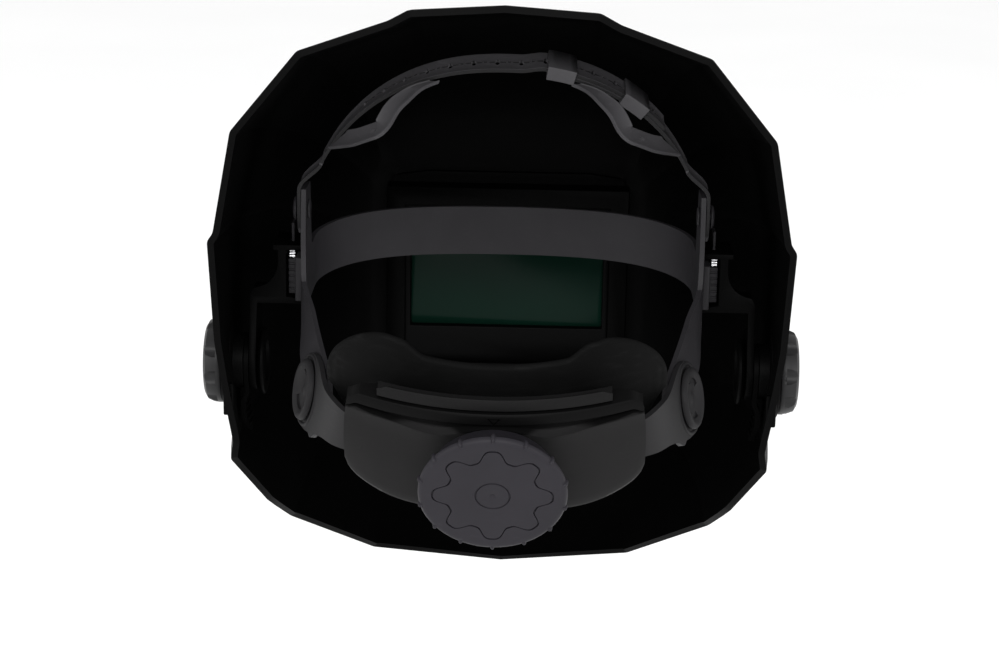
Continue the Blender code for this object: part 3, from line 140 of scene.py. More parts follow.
def grey(level, tint=(1.0, 1.0, 1.0)):
    return (level * tint[0], level * tint[1], level * tint[2], 1.0)


def moulded_plastic(name, level, tint, roughness, dust=0.5, specular=0.4, painted_top_shade=False, painted_rear_shade=False):
    """Satin injection-moulded plastic: spark grain, cloudy sheen, faint scuffs and a little dust, with
    optional painted shade above a height line or on rearward faces.
    """
    paint = Paint(name, Specular_IOR_Level=specular)
    cloud = paint.noise(55.0, 4.0)
    grain = paint.noise(2600.0, 2.0, 0.6)
    scuff = paint.noise(240.0, 5.0, 0.65, paint.stretched((1.0, 0.35, 4.0)))
    worn = scuff.step(0.58, 0.74)
    lint = paint.specks(420.0, 0.055) * paint.noise(90.0).step(0.50, 0.62) * dust
    base = paint.mix(cloud, grey(level * 0.8, tint), grey(level * 1.2, tint))
    base = paint.mix(worn * 0.18, base, grey(level * 2.4 + 0.001, tint))
    base = paint.mix(lint, base, grey(level * 3.0 + 0.01))
    if painted_top_shade:
        # Painted shade: above the height line the colour drops to about a fifth, for the shade on the cover's
        # top band and in the hollow below it.
        up = CRADLE.to_3x3() @ Vector((0.0, 0.0, 1.0))
        rise = paint.along(paint.place, up)
        edge = CRADLE.translation.dot(up) + COVER_SHADE_LINE
        base = paint.mix(rise.step(edge - 0.0006, edge + 0.0006), base, grey(level * 0.22, tint))
    if painted_rear_shade:
        # Painted shade: faces turned rearward, such as the walls of the strap's holes and its rear edge, drop
        # to a tenth of the level.
        facing = paint.node("ShaderNodeNewGeometry", {}, {}, "Normal")
        rearward = paint.along(facing, (0.0, 1.0, 0.0))
        base = paint.mix(rearward.step(0.55, 0.85), base, grey(level * 0.10, tint))
    rough = cloud * 0.10 + grain * 0.08 + (roughness - 0.09) - worn * 0.06
    return paint.finish(base, rough, grain + scuff * 0.25, 0.00006, 0.35)


SHELL_BLACK = moulded_plastic("shell_black_satin", 0.0008, (1.0, 1.0, 1.02), 0.50, 0.12, 0.03)
HEADGEAR_GREY = moulded_plastic("headgear_charcoal", 0.0130, (1.0, 0.96, 1.06), 0.50, 0.6, 0.08)
ARM_CHARCOAL = moulded_plastic("rear_arm_charcoal", 0.0095, (1.0, 0.97, 1.03), 0.50, 0.5, 0.05)
# The crown strap's colour carries painted shade on its rearward faces.
STRAP_GREY = moulded_plastic("crown_strap_grey", 0.0450, (1.0, 0.97, 1.04), 0.50, 0.5, 0.12, painted_rear_shade=True)
REAR_STRAP_GREY = moulded_plastic("rear_strap_grey", 0.0290, (1.0, 0.97, 1.04), 0.50, 0.5, 0.12)
# The cover's colour carries painted shade on its upper part.
COVER_BLACK = moulded_plastic("ratchet_cover_black", 0.0085, (1.0, 0.98, 1.0), 0.50, 0.6, 0.03, True)
RAIL_BLACK = moulded_plastic("back_rail_black", 0.0045, (1.0, 0.98, 1.0), 0.50, 0.5, 0.05)
KNOB_PLUM = moulded_plastic("ratchet_knob_plum_grey", 0.0115, (1.0, 0.92, 1.14), 0.52, 0.6, 0.10)
GRIP_BLACK = moulded_plastic("tension_knob_black", 0.0100, (1.0, 1.0, 1.04), 0.42, 0.4, 0.14)
ARM_BLACK = moulded_plastic("side_arm_black", 0.0007, (1.0, 1.0, 1.02), 0.50, 0.2, 0.02)


def nape_foam():
    """Closed-cell pad skin: matt charcoal with fine pores and soft rub marks."""
    paint = Paint("nape_pad_foam", Specular_IOR_Level=0.03)
    pores = paint.node("ShaderNodeTexVoronoi", {}, {"Vector": paint.place, "Scale": 1500.0}, "Distance")
    cloud = paint.noise(38.0, 5.0)
    rub = paint.noise(120.0, 4.0, 0.6, paint.stretched((0.4, 1.0, 3.0))).step(0.50, 0.72)
    base = paint.mix(cloud, grey(0.0015), grey(0.0026))
    base = paint.mix(rub * 0.25, base, grey(0.006))
    rough = 0.70 - rub * 0.12 + cloud * 0.08
    return paint.finish(base, rough, pores + cloud * 0.6, 0.00010, 0.35)


def latch_steel():
    paint = Paint("latch_bright_steel", Metallic=1.0)
    brushed = paint.noise(900.0, 3.0, 0.6, paint.stretched((1.0, 0.1, 1.0)))
    stain = paint.noise(260.0, 3.0).step(0.45, 0.75)
    base = paint.mix(stain, grey(0.50, (1.0, 1.0, 1.03)), grey(0.30))
    return paint.finish(base, 0.24 + brushed * 0.16 + stain * 0.12, brushed, 0.00004, 0.3)


def cover_lens():
    paint = Paint("cover_lens_polycarbonate", Transmission_Weight=1.0, IOR=1.58)
    smear = paint.noise(60.0, 4.0, 0.6).step(0.55, 0.75)
    base = paint.mix(smear, grey(0.95, (0.97, 1.0, 0.98)), grey(0.88))
    return paint.finish(base, 0.03 + smear * 0.10, paint.noise(30.0), 0.00004, 0.1)


def filter_glass():
    paint = Paint("filter_glass_dark_green", Specular_IOR_Level=0.04)
    cloud = paint.noise(20.0, 2.0)
    base = paint.mix(cloud, (0.0016, 0.0080, 0.0050, 1.0), (0.0022, 0.0115, 0.0075, 1.0))
    return paint.finish(base, 0.16 + cloud * 0.05, cloud, 0.00002, 0.1)


PAD_FOAM = nape_foam()
LATCH_STEEL = latch_steel()
LENS_CLEAR = cover_lens()
GLASS_GREEN = filter_glass()


# Making pieces


def as_object(bm, name):
    """A new object of the scene that takes the mesh over."""
    mesh = bpy.data.meshes.new(name)
    bm.to_mesh(mesh)
    bm.free()
    made = bpy.data.objects.new(name, mesh)
    bpy.context.scene.collection.objects.link(made)
    return made


def settled(made):
    """The object's mesh with its modifiers applied."""
    bpy.context.view_layer.update()
    return bpy.data.meshes.new_from_object(made.evaluated_get(bpy.context.evaluated_depsgraph_get()))


def dressed(name, bm, material, body, node=None, edge=0.0, angle=32.0, segments=2, place=TO_ROW):
    """Finish a mesh as a piece that rides on its body, with its hard edges rounded."""
    bmesh.ops.transform(bm, matrix=place, verts=bm.verts)
    bmesh.ops.recalc_face_normals(bm, faces=bm.faces)
    made = as_object(bm, name)
    mesh = made.data
    mesh.shade_smooth()
    mesh.materials.append(material)
    if edge > 0.0:
        bevel = made.modifiers.new("edges", "BEVEL")
        bevel.width = edge
        bevel.segments = segments
        bevel.limit_method = "ANGLE"
        bevel.angle_limit = math.radians(angle)
        bevel.use_clamp_overlap = True
        bevel.harden_normals = True
    else:
        mesh.set_sharp_from_angle(angle=math.radians(angle))
    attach(made, body)
    if node:
        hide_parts(node)
    return made


def cut(target, bm, operation="DIFFERENCE"):
    """Cut or join a hidden mesh and settle the result."""
    bmesh.ops.recalc_face_normals(bm, faces=bm.faces)
    tool = as_object(bm, "tool")
    step = target.modifiers.new("cut", "BOOLEAN")
    step.object = tool
    step.operation = operation
    step.solver = "EXACT"
    result = settled(target)
    target.modifiers.remove(step)
    old = target.data
    target.data = result
    bpy.data.meshes.remove(old)
    bpy.data.objects.remove(tool, do_unlink=True)


def rough_piece(bm):
    """Unfinished object for Boolean work, later handed back as a mesh."""
    bmesh.ops.recalc_face_normals(bm, faces=bm.faces)
    return as_object(bm, "blank")


def taken(blank):
    """The mesh of an unfinished object, which goes away."""
    bm = bmesh.new()
    bm.from_mesh(blank.data)
    mesh = blank.data
    bpy.data.objects.remove(blank, do_unlink=True)
    bpy.data.meshes.remove(mesh)
    return bm


def rounded_node(node, material, body, edge, angle=30.0):
    """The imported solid's own form with its edges eased."""
    bm = bmesh.new()
    bm.from_mesh(NODES[node].data)
    weld(bm, 0.00001)
    bmesh.ops.dissolve_limit(bm, angle_limit=math.radians(0.6), verts=bm.verts, edges=bm.edges)
    dressed(node + "_finished", bm, material, body, node, edge, angle, place=Matrix.Identity(4))


def grid(rows, closed_across=False, caps=False):
    """Faces through rows of points of equal count."""
    bm = bmesh.new()
    made = [[bm.verts.new(point) for point in row] for row in rows]
    count = len(made[0])
    last = count if closed_across else count - 1
    for low, high in zip(made, made[1:]):
        for here in range(last):
            after = (here + 1) % count
            bm.faces.new((low[here], low[after], high[after], high[here]))
    if caps:
        bm.faces.new(made[0])
        bm.faces.new(list(reversed(made[-1])))
    return bm


def thickened(bm, thickness, even=True):
    """Open surface given a wall on the side away from its normals."""
    skin = as_object(bm, "skin")
    wall = skin.modifiers.new("wall", "SOLIDIFY")
    wall.thickness = thickness
    wall.offset = -1.0
    wall.use_even_offset = even
    result = settled(skin)
    bpy.data.objects.remove(skin, do_unlink=True)
    made = bmesh.new()
    made.from_mesh(result)
    bpy.data.meshes.remove(result)
    return made


def in_mm(*pairs):
    """Pairs written in millimetres, as metres."""
    return [(first * MM, second * MM) for first, second in pairs]


def mirrored(points):
    return [Vector((-point.x, point.y, point.z)) for point in points]


def axes(first, second, third):
    """Turn that sends X, Y and Z to three directions."""
    return Matrix((first, second, third)).transposed().to_4x4()


def upright(direction):
    """Turn that sends Z to a direction."""
    return direction.to_track_quat("Z", "Y").to_matrix().to_4x4()


def circle(count):
    """Cosine and sine pairs once round."""
    angles = [2 * math.pi * step / count for step in range(count)]
    return [(math.cos(angle), math.sin(angle)) for angle in angles]


def turned(profile, steps):
    """Solid of revolution about local Z from radius and height pairs."""
    rows = []
    for radius, height in profile:
        reach = max(radius, 1e-6)
        rows.append([Vector((reach * x, reach * y, height)) for x, y in circle(steps)])
    bm = grid(rows, closed_across=True, caps=True)
    weld(bm, 0.000004)
    return bm


def add_cylinder(bm, radius, start, end, segments=32):
    start, end = Vector(start), Vector(end)
    place = Matrix.Translation((start + end) / 2) @ upright(end - start)
    bmesh.ops.create_cone(bm, cap_ends=True, segments=segments, radius1=radius, radius2=radius,
                          depth=(end - start).length, matrix=place)


def add_box(bm, low, high, place=None):
    low, high = Vector(low), Vector(high)
    spot = Matrix.Translation((low + high) / 2) @ Matrix.Diagonal((*(high - low), 1.0))
    bmesh.ops.create_cube(bm, size=1.0, matrix=(place @ spot) if place else spot)


def add_prism(bm, outline, place, depth):
    low = [bm.verts.new(place @ Vector((x, y, 0.0))) for x, y in outline]
    high = [bm.verts.new(place @ Vector((x, y, depth))) for x, y in outline]
    faces = [bm.faces.new(list(reversed(low))), bm.faces.new(high)]
    for here in range(len(outline)):
        after = (here + 1) % len(outline)
        faces.append(bm.faces.new((low[here], low[after], high[after], high[here])))
    bmesh.ops.recalc_face_normals(bm, faces=faces)


def weld(bm, reach):
    bmesh.ops.remove_doubles(bm, verts=bm.verts, dist=reach)


def turn_faces(bm, wrong):
    """Flip the faces whose normal and middle the test calls wrong."""
    bm.normal_update()
    for face in bm.faces:
        if wrong(face.normal, face.calc_center_median()):
            face.normal_flip()


def lerp(start, end, share):
    return start + (end - start) * share


def cubic(start, first, second, end, t):
    """Point of a cubic curve through four guide points."""
    s = 1.0 - t
    return start * s ** 3 + first * (3 * s * s * t) + second * (3 * s * t * t) + end * t ** 3


def ease(value, start, end):
    share = min(max((value - start) / (end - start), 0.0), 1.0)
    return share * share * (3.0 - 2.0 * share)


def round_share(share, exponent):
    return (1.0 - min(abs(share), 1.0) ** exponent) ** (1.0 / exponent)


# Face shell: rim, window and wall swell, column by column from crown to chin

SHELL_HALF_WIDTH, RIM_BACK, RIM_TOP = 120.4 * MM, 61.0 * MM, 165.0 * MM
CHIN_REACH, CHIN_DROP, FACE_REACH = 98.0 * MM, 129.0 * MM, 145.0 * MM
WINDOW_HALF_WIDTH, WINDOW_HALF_HEIGHT, WINDOW_CENTRE = 66.0 * MM, 60.0 * MM, 2.0 * MM
WINDOW_BORDER, WINDOW_RECESS, WINDOW_LEDGE = 9.5 * MM, 4.0 * MM, 6.5 * MM
SHELL_WALL = 2.8 * MM
SHELL_COLUMNS = (
    ("crown", 0.000, 1.000, 1.000, 0.000, 1.000, 1.00, 0.850),
    ("plateau_corner", 0.313, 1.000, 0.985, 0.560, 1.000, 1.00, 0.850),
    ("plateau_foot", 0.379, 0.984, 0.958, 0.690, 1.000, 1.00, 0.840),
    ("brow_corner", 0.680, 0.934, 0.878, 0.940, 0.960, 0.98, 0.820),
    ("temple_corner", 0.909, 0.852, 0.673, 1.000, 0.760, 0.99, 0.800),
    ("above_step", 0.979, 0.754, 0.409, 1.000, 0.400, 1.00, 0.850),
    ("step_foot", 1.000, 0.738, 0.387, 1.000, 0.330, 1.00, 0.850),
    ("cheek", 0.987, 0.650, 0.121, 1.000, -0.100, 1.02, 0.850),
    ("notch_top", 0.935, 0.525, -0.206, 1.000, -0.500, 1.17, 0.900),
    ("notch_foot", 0.949, 0.459, -0.278, 1.000, -0.600, 1.13, 0.900),
    ("jaw", 0.786, -0.255, -0.628, 0.930, -0.930, 1.02, 0.860),
    ("jaw_front", 0.502, -0.765, -0.890, 0.545, -1.000, 1.00, 0.830),
    ("chin", 0.000, -1.000, -1.000, 0.000, -1.000, 1.00, 0.820),
)
RIB_SAMPLES = 26
SHOULDER_DEPTH, SHOULDER_WIDTH = 0.93, 0.96


def window_point(row, inset=0.0, depth=0.0):
    width, height = row[3:5]
    return Vector((width * (WINDOW_HALF_WIDTH - inset), depth - FACE_REACH,
                   WINDOW_CENTRE + height * (WINDOW_HALF_HEIGHT - inset)))


def eased_columns():
    """Columns between the named ones, with each corner turned over a short curve."""
    named = [row[1:] for row in SHELL_COLUMNS]

    def between(a, b, share):
        return tuple(lerp(p, q, share) for p, q in zip(a, b))

    made = [named[0]]
    for here in range(1, len(named)):
        before, corner = named[here - 1], named[here]
        span = abs(corner[0] - before[0]) + abs(corner[2] - before[2])
        reach = min(0.30, 0.012 / span)
        count = max(2, int(span * 16))
        made += [between(before, corner, lerp(reach, 1.0 - reach, step / count)) for step in range(count + 1)]
        if here == len(named) - 1:
            break
        after = named[here + 1]
        next_span = abs(after[0] - corner[0]) + abs(after[2] - corner[2])
        start = between(before, corner, 1.0 - reach)
        end = between(corner, after, min(0.30, 0.012 / next_span))
        for t in (0.25, 0.5, 0.75):
            made.append(between(between(start, corner, t), between(corner, end, t), t))
    made.append(named[-1])
    return made


def shell_rib(row):
    width, setback, height = row[:3]
    rim = Vector((width * SHELL_HALF_WIDTH, setback * (RIM_BACK if setback > 0.0 else CHIN_REACH),
                  height * (RIM_TOP if height > 0.0 else CHIN_DROP)))
    face = window_point(row)
    swell, high = row[5:7]
    shoulder = Vector((rim.x * SHOULDER_WIDTH, -FACE_REACH * SHOULDER_DEPTH, rim.z * high))
    first = lerp(rim, shoulder, 0.65)
    first.x = rim.x * swell
    second = lerp(face, shoulder, 0.55)
    points = [cubic(rim, first, second, face, sample / RIB_SAMPLES) for sample in range(RIB_SAMPLES + 1)]
    points.append(window_point(row, 0.4 * WINDOW_BORDER, -0.0003))
    points.append(window_point(row, WINDOW_BORDER))
    points.append(window_point(row, WINDOW_BORDER, WINDOW_RECESS))
    points.append(window_point(row, WINDOW_BORDER + WINDOW_LEDGE, WINDOW_RECESS))
    return points


def make_shell():
    half = [shell_rib(row) for row in eased_columns()]
    for rib in (half[0], half[-1]):
        for point in rib:
            point.x = 0.0
    ribs = half + [mirrored(rib) for rib in reversed(half[1:-1])]
    bm = grid(ribs + [ribs[0]])
    weld(bm, 0.00002)
    bmesh.ops.recalc_face_normals(bm, faces=bm.faces)
    solid = thickened(bm, SHELL_WALL)
    dressed("shell_moulding", solid, SHELL_BLACK, SHELL, "shell", 0.5 * MM, 40.0, 3)
    for name, side in SIDES.items():
        make_boss(name, side)


def on_tilt_axis(side, start, setback=0.0, height=0.0):
    """Place on one side of the helmet whose local Z runs outward."""
    spot = TILT_AXIS + Vector((side * start, setback, height))
    return Matrix.Translation(spot) @ Matrix.Rotation(side * math.pi / 2, 4, "Y")


def make_boss(name, side):
    """Round pivot boss through the wall, with a pad inside and a stop tab by the rim."""
    bore, boss, pad = 5.4, 20.0, 12.0
    inner, wall, outer = 110.7, 116.7, 119.5
    profile = in_mm((bore, outer), (boss - 1.2, outer), (boss - 0.3, outer - 0.3), (boss, outer - 1.2),
                    (boss, wall - 1.5), (pad, wall - 1.5), (pad, inner), (bore, inner))
    rows = [[Vector((radius * x, radius * y, height)) for x, y in circle(72)]
            for radius, height in profile + profile[:1]]
    bm = grid(rows, closed_across=True)
    weld(bm, 0.000004)
    dressed("pivot_boss_" + name, bm, SHELL_BLACK, SHELL, None, 0.3 * MM, 50.0, 2, on_tilt_axis(side, 0.0))
    tab = bmesh.new()
    low, high = sorted((side * 112.2 * MM, side * 116.5 * MM))
    add_box(tab, (low, 29.5 * MM, -15.0 * MM), (high, 32.0 * MM, -1.0 * MM))
    dressed("stop_tab_" + name, tab, SHELL_BLACK, SHELL, None, 0.6 * MM, 30.0)


def make_window():
    rounded_node("filter_housing", SHELL_BLACK, SHELL, 0.8 * MM)
    rounded_node("filter_frame", ARM_BLACK, SHELL, 0.8 * MM)
    rounded_node("filter_glass", GLASS_GREEN, SHELL, 0.2 * MM)
    rounded_node("cover_lens", LENS_CLEAR, SHELL, 0.2 * MM)


# Headband

BAND_HALF_WIDTH, BAND_THICKNESS, BAND_HEIGHT = 82.5 * MM, 2.0 * MM, 22.0 * MM
BAND_FLAT_RUN, BAND_FRONT_LENGTH, BAND_END = 20.0 * MM, 42.0 * MM, 92.0 * MM
LUG_TOP, LUG_WIDTH, LUG_SETBACK = 80.0 * MM, 18.0 * MM, 8.0 * MM
PIN_HEIGHT, PIN_BORE, DISC_BORE = 70.0 * MM, 2.8 * MM, 4.3 * MM
DISC_SETBACK, DISC_HEIGHT = 70.0 * MM, 9.0 * MM


def band_height(y):
    if y < -BAND_FLAT_RUN:
        return lerp(40.0 * MM, 45.0 * MM, ease(-y, BAND_FLAT_RUN, BAND_FLAT_RUN + BAND_FRONT_LENGTH))
    return 40.0 * MM - 0.37 * max(y, 0.0)


def band_width(y, z):
    share = max(y - BAND_FLAT_RUN, 0.0) / (BAND_END - BAND_FLAT_RUN)
    lean = 0.20 * ease(y, 19.0 * MM, 45.0 * MM)
    return BAND_HALF_WIDTH - 16.9 * MM * share ** 1.25 - lean * (z - band_height(y))


def band_normal(y, z):
    step = 2.0 * MM
    along = band_width(y + step, z) - band_width(y - step, z)
    up = band_width(y, z + step) - band_width(y, z - step)
    return Vector((2 * step, -along, -up)).normalized()


def disc_axis(side):
    normal = band_normal(DISC_SETBACK, DISC_HEIGHT)
    normal.x *= side
    return normal, Vector((side * band_width(DISC_SETBACK, DISC_HEIGHT), DISC_SETBACK, DISC_HEIGHT))


def band_stations():
    made = []
    power = 2.0 / 2.2
    half = BAND_HEIGHT / 2
    for step in range(28):
        angle = math.pi / 2 * step / 28
        y = -BAND_FLAT_RUN - BAND_FRONT_LENGTH * math.cos(angle) ** power
        x = BAND_HALF_WIDTH * math.sin(angle) ** power
        made.append((x, y, band_height(y) - half, band_height(y) + half))
    edge = LUG_WIDTH / 2
    blend = 6.0 * MM
    places = [lerp(-BAND_FLAT_RUN, BAND_END - half, share / 60) for share in range(61)]
    places += [BAND_END - half * (1.0 - math.sin(math.pi / 2 * share / 10)) for share in range(1, 11)]
    for y in places:
        middle = band_height(y)
        end = min((BAND_END - y) / half, 1.0)
        span = half * max(round_share(1.0 - end, 2.0), 0.30)
        lug = (LUG_TOP - half - middle) * (1.0 - ease(abs(y - LUG_SETBACK) - edge, 0.0, blend))
        ear = 9.0 * MM * (1.0 - ease(abs(y - DISC_SETBACK), 6.3 * MM, 18.0 * MM))
        made.append((None, y, middle - span - ear, middle + span + lug))
    return made


def make_headband():
    half = []
    for x, y, low, top in band_stations():
        row = []
        for share in (0.0, 0.1, 0.3, 0.5, 0.7, 0.9, 1.0):
            z = lerp(low, top, share)
            row.append(Vector((band_width(y, z) if x is None else x, y, z)))
        half.append(row)
    bm = grid([mirrored(row) for row in reversed(half[1:])] + half)
    turn_faces(bm, lambda normal, middle: normal.dot(Vector((middle.x, middle.y, 0.0))) > 0.0)
    band = rough_piece(thickened(bm, BAND_THICKNESS))
    cuts = bmesh.new()
    for side in SIDES.values():
        normal, centre = disc_axis(side)
        add_cylinder(cuts, DISC_BORE, centre - normal * 12.0 * MM, centre + normal * 12.0 * MM)
        pin = Vector((side * BAND_HALF_WIDTH, LUG_SETBACK, PIN_HEIGHT))
        reach = Vector((10.0 * MM, 0, 0))
        add_cylinder(cuts, PIN_BORE, pin - reach, pin + reach)
        z = band_height(23.5 * MM) - 6.0 * MM
        x = side * band_width(23.5 * MM, z)
        add_box(cuts, (x - 8.0 * MM, 21.9 * MM, z - 4.25 * MM), (x + 8.0 * MM, 25.1 * MM, z + 4.25 * MM))
    cut(band, cuts)
    dressed("headband_strip", taken(band), HEADGEAR_GREY, HEADGEAR, "headband", 0.35 * MM, 40.0)


# Rear arms and joint discs

COVER_RADIUS, COVER_HALF_WIDTH, COVER_DEPTH = 116.0 * MM, 60.4 * MM, 9.5 * MM
COVER_TOP, COVER_BOTTOM, COVER_BAND = 29.4 * MM, 21.2 * MM, 5.0 * MM
TO_AXIS = Matrix.Translation(-TILT_AXIS)


def make_rear_arm(name, side):
    normal, centre = disc_axis(1.0)
    up_start = (Vector((0, 0, 1)) - normal * normal.z).normalized()
    forward = up_start.cross(normal).normalized()
    seat = centre + normal * (BAND_THICKNESS + 0.3 * MM)
    end_x = COVER_HALF_WIDTH - 11.0 * MM
    drop = COVER_RADIUS - math.sqrt(COVER_RADIUS ** 2 - end_x ** 2)
    to_axis = TO_AXIS @ CRADLE
    end = to_axis @ Vector((end_x, -drop - 0.6 * COVER_DEPTH, 4.4 * MM))
    inner = to_axis @ Vector((end_x - 22.0 * MM, -drop + 0.4 * COVER_DEPTH, 4.4 * MM))
    turn_in = (inner - end).normalized()
    up_end = (to_axis @ Vector((0, 0, 1))) - (to_axis @ Vector((0, 0, 0)))
    reach = (end - seat).length
    eye = 15.2 * MM
    stations = []
    for step in range(14):
        along = -eye * math.cos(math.pi / 2 * step / 14)
        half = math.sqrt(max(eye ** 2 - along ** 2, (0.12 * eye) ** 2))
        stations.append((seat + forward * along, up_start, half))
    for step in range(37):
        t = step / 36
        point = cubic(seat, seat + forward * 0.35 * reach, end - turn_in * 0.30 * reach, end, t)
        up = lerp(up_start, up_end, ease(t, 0.0, 1.0)).normalized()
        half = lerp(lerp(eye, 10.5 * MM, ease(t, 0.05, 0.55)), 9.4 * MM, ease(t, 0.65, 0.90))
        stations.append((point, up, half))
    rows = []
    for point, up, half in stations:
        spots = [point + up * half * across for across in (-1.0, -0.85, -0.5, 0.0, 0.5, 0.85, 1.0)]
        rows.append(spots if side > 0.0 else mirrored(spots))
    bm = grid(rows)
    inside = Vector((0.0, 30.0, 20.0)) * MM
    turn_faces(bm, lambda normal, middle: normal.dot(middle - inside) > 0.0)
    arm = rough_piece(thickened(bm, 2.0 * MM))
    normal, centre = disc_axis(side)
    bore = bmesh.new()
    add_cylinder(bore, DISC_BORE, centre - normal * 5.0 * MM, centre + normal * 20.0 * MM)
    cut(arm, bore)
    seat_up = centre + normal * (BAND_THICKNESS + 0.3 * MM + 1.9 * MM)
    rows = []
    turn = upright(normal)
    for radius, lift in ((14.9, 0.0), (14.7, 0.7), (14.2, 0.9), (13.5, 0.7), (13.2, 0.0)):
        rows.append([seat_up + normal * lift * MM + turn @ Vector((x, y, 0)) * radius * MM
                     for x, y in circle(64)])
    ring = grid(rows + rows[:1], closed_across=True)
    dressed("rear_arm_strip_" + name, taken(arm), ARM_CHARCOAL, HEADGEAR, "rear_arm_" + name, 0.4 * MM, 40.0)
    dressed("eye_ring_" + name, ring, ARM_CHARCOAL, HEADGEAR, None, 0.0, 60.0)


def make_disc(name, side):
    """Dished button with a bright rim and a small step inside."""
    normal, centre = disc_axis(side)
    stack, r = 5.2, 12.5
    profile = in_mm((0.0, stack + 0.9), (1.2, stack + 0.9), (2.0, stack + 0.5), (0.30 * r, stack + 0.4),
                    (0.55 * r, stack + 0.7), (0.72 * r, stack + 1.6), (0.80 * r, stack + 2.2),
                    (0.90 * r, stack + 2.2), (0.96 * r, stack + 1.8), (r, stack + 0.9), (r, stack),
                    (4.0, stack), (4.0, -0.3), (6.9, -0.3), (6.3, -1.2), (0.0, -1.2))
    place = Matrix.Translation(TILT_AXIS + centre) @ upright(normal)
    button = rough_piece(turned(profile, 72))
    slots = bmesh.new()
    for middle in (70.0, 250.0):
        fan = [math.radians(middle + lerp(-38.0, 38.0, along / 12)) for along in range(13)]
        outline = in_mm(*((0.66 * r * math.cos(a), 0.66 * r * math.sin(a)) for a in fan),
                        *((0.50 * r * math.cos(a), 0.50 * r * math.sin(a)) for a in reversed(fan)))
        add_prism(slots, outline, Matrix.Translation((0, 0, (stack + 0.3) * MM)), 3.0 * MM)
    cut(button, slots)
    dressed("joint_disc_" + name, taken(button), ARM_CHARCOAL, HEADGEAR, "disc_pivot_" + name,
            0.2 * MM, 35.0, 2, place)


# Nape cradle


def on_arc(radius, across, offset, up):
    turn = across / radius
    return Vector((radius * math.sin(turn), offset - radius * (1.0 - math.cos(turn)), up))


def cover_bottom(share):
    corner = 4.0 * MM * (1.0 - round_share(max(abs(share) - 0.90, 0.0) / 0.10, 2.0))
    return corner - COVER_BOTTOM * (1.0 - 0.42 * max(2.0 * abs(share) - 1.0, 0.0) ** 2.2)


def cover_top(share):
    return COVER_TOP + 1.6 * MM * (1.0 - share ** 2) - 2.5 * MM * ease(abs(share), 0.92, 1.0)


def cover_point(across, offset, up):
    """Point on the cover, whose ends draw in a little towards the top."""
    return on_arc(COVER_RADIUS, across * (1.0 - 0.05 * max(up / COVER_TOP, 0.0) ** 2), offset, up)


def brow_drop(across):
    """Distance from the cover's top band down to the raised line under it."""
    away = abs(across) / MM
    if away < 23.0:
        return lerp(1.6, 6.4, ease(away, 2.0, 23.0)) * MM
    if away < 48.0:
        return lerp(6.4, 2.7, ease(away, 23.0, 48.0)) * MM
    return lerp(2.7, 0.5, (away - 48.0) / 12.4) * MM


def make_ratchet_cover():
    rows = []
    count = 96
    for step in range(count + 1):
        share = -1.0 + 2.0 * step / count
        across = share * COVER_HALF_WIDTH
        top = cover_top(share)
        low = cover_bottom(share)
        ledge = top - COVER_BAND
        line = ledge - brow_drop(across)
        reach = COVER_DEPTH * (1.0 - 0.45 * ease(abs(share), 0.75, 1.0))
        fade = 1.0 - ease(abs(share), 0.90, 1.0)
        deep = 2.1 * MM * fade
        section = [(-reach, top), (-0.6 * MM, top + 0.1 * MM), (-0.1 * MM, top - 0.3 * MM),
                   (0.1 * MM, top - 0.9 * MM), (0.1 * MM, ledge + 0.5 * MM), (-0.5 * MM, ledge),
                   (-0.5 * MM - deep, lerp(ledge, line, 0.35)), (-0.5 * MM - deep, lerp(ledge, line, 0.8)),
                   (-0.5 * MM - 0.3 * deep, line + 0.35 * MM), (0.2 * MM, line),
                   (0.25 * MM, line - 0.6 * MM), (0.0, line - 1.2 * MM)]
        for t in (0.15, 0.3, 0.5, 0.7, 0.85, 0.94):
            up = lerp(line - 1.2 * MM, low, t)
            section.append((-1.5 * MM * t ** 4, up))
        section += [(-2.2 * MM, low + 0.4 * MM), (-3.2 * MM, low), (-COVER_DEPTH, low)]
        rows.append([cover_point(across, offset, up) for offset, up in section])
    bm = grid(rows)
    turn_faces(bm, lambda normal, middle: (normal.y if abs(normal.y) > 0.3 else normal.z * middle.z) < 0.0)
    cover = rough_piece(thickened(bm, 2.0 * MM, False))
    face = Matrix.Translation((0, 0.6 * MM, cover_top(0.0) - 2.6 * MM)) @ Matrix.Rotation(math.pi / 2, 4, "X")
    ring = []
    for reach, depth in ((1.0, 0.0), (1.0, 1.3), (0.62, 1.3), (0.62, 0.0)):
        ring.append([face @ (Vector((2.9 * reach * math.sin(a), 2.1 * reach * math.cos(a), depth)) * MM)
                     for a in (math.radians(t) for t in (60, 180, 300))])
    cut(cover, grid(ring + ring[:1], closed_across=True))
    notch = bmesh.new()
    low, high = cover_top(0.0) - 6.2 * MM, cover_top(0.0) - 4.9 * MM
    add_box(notch, (-3.2 * MM, -1.4 * MM, low), (3.2 * MM, 1.0 * MM, high))
    cut(cover, notch)
    dressed("cover_moulding", taken(cover), COVER_BLACK, HEADGEAR, "ratchet_cover",
            0.25 * MM, 38.0, 2, CRADLE)


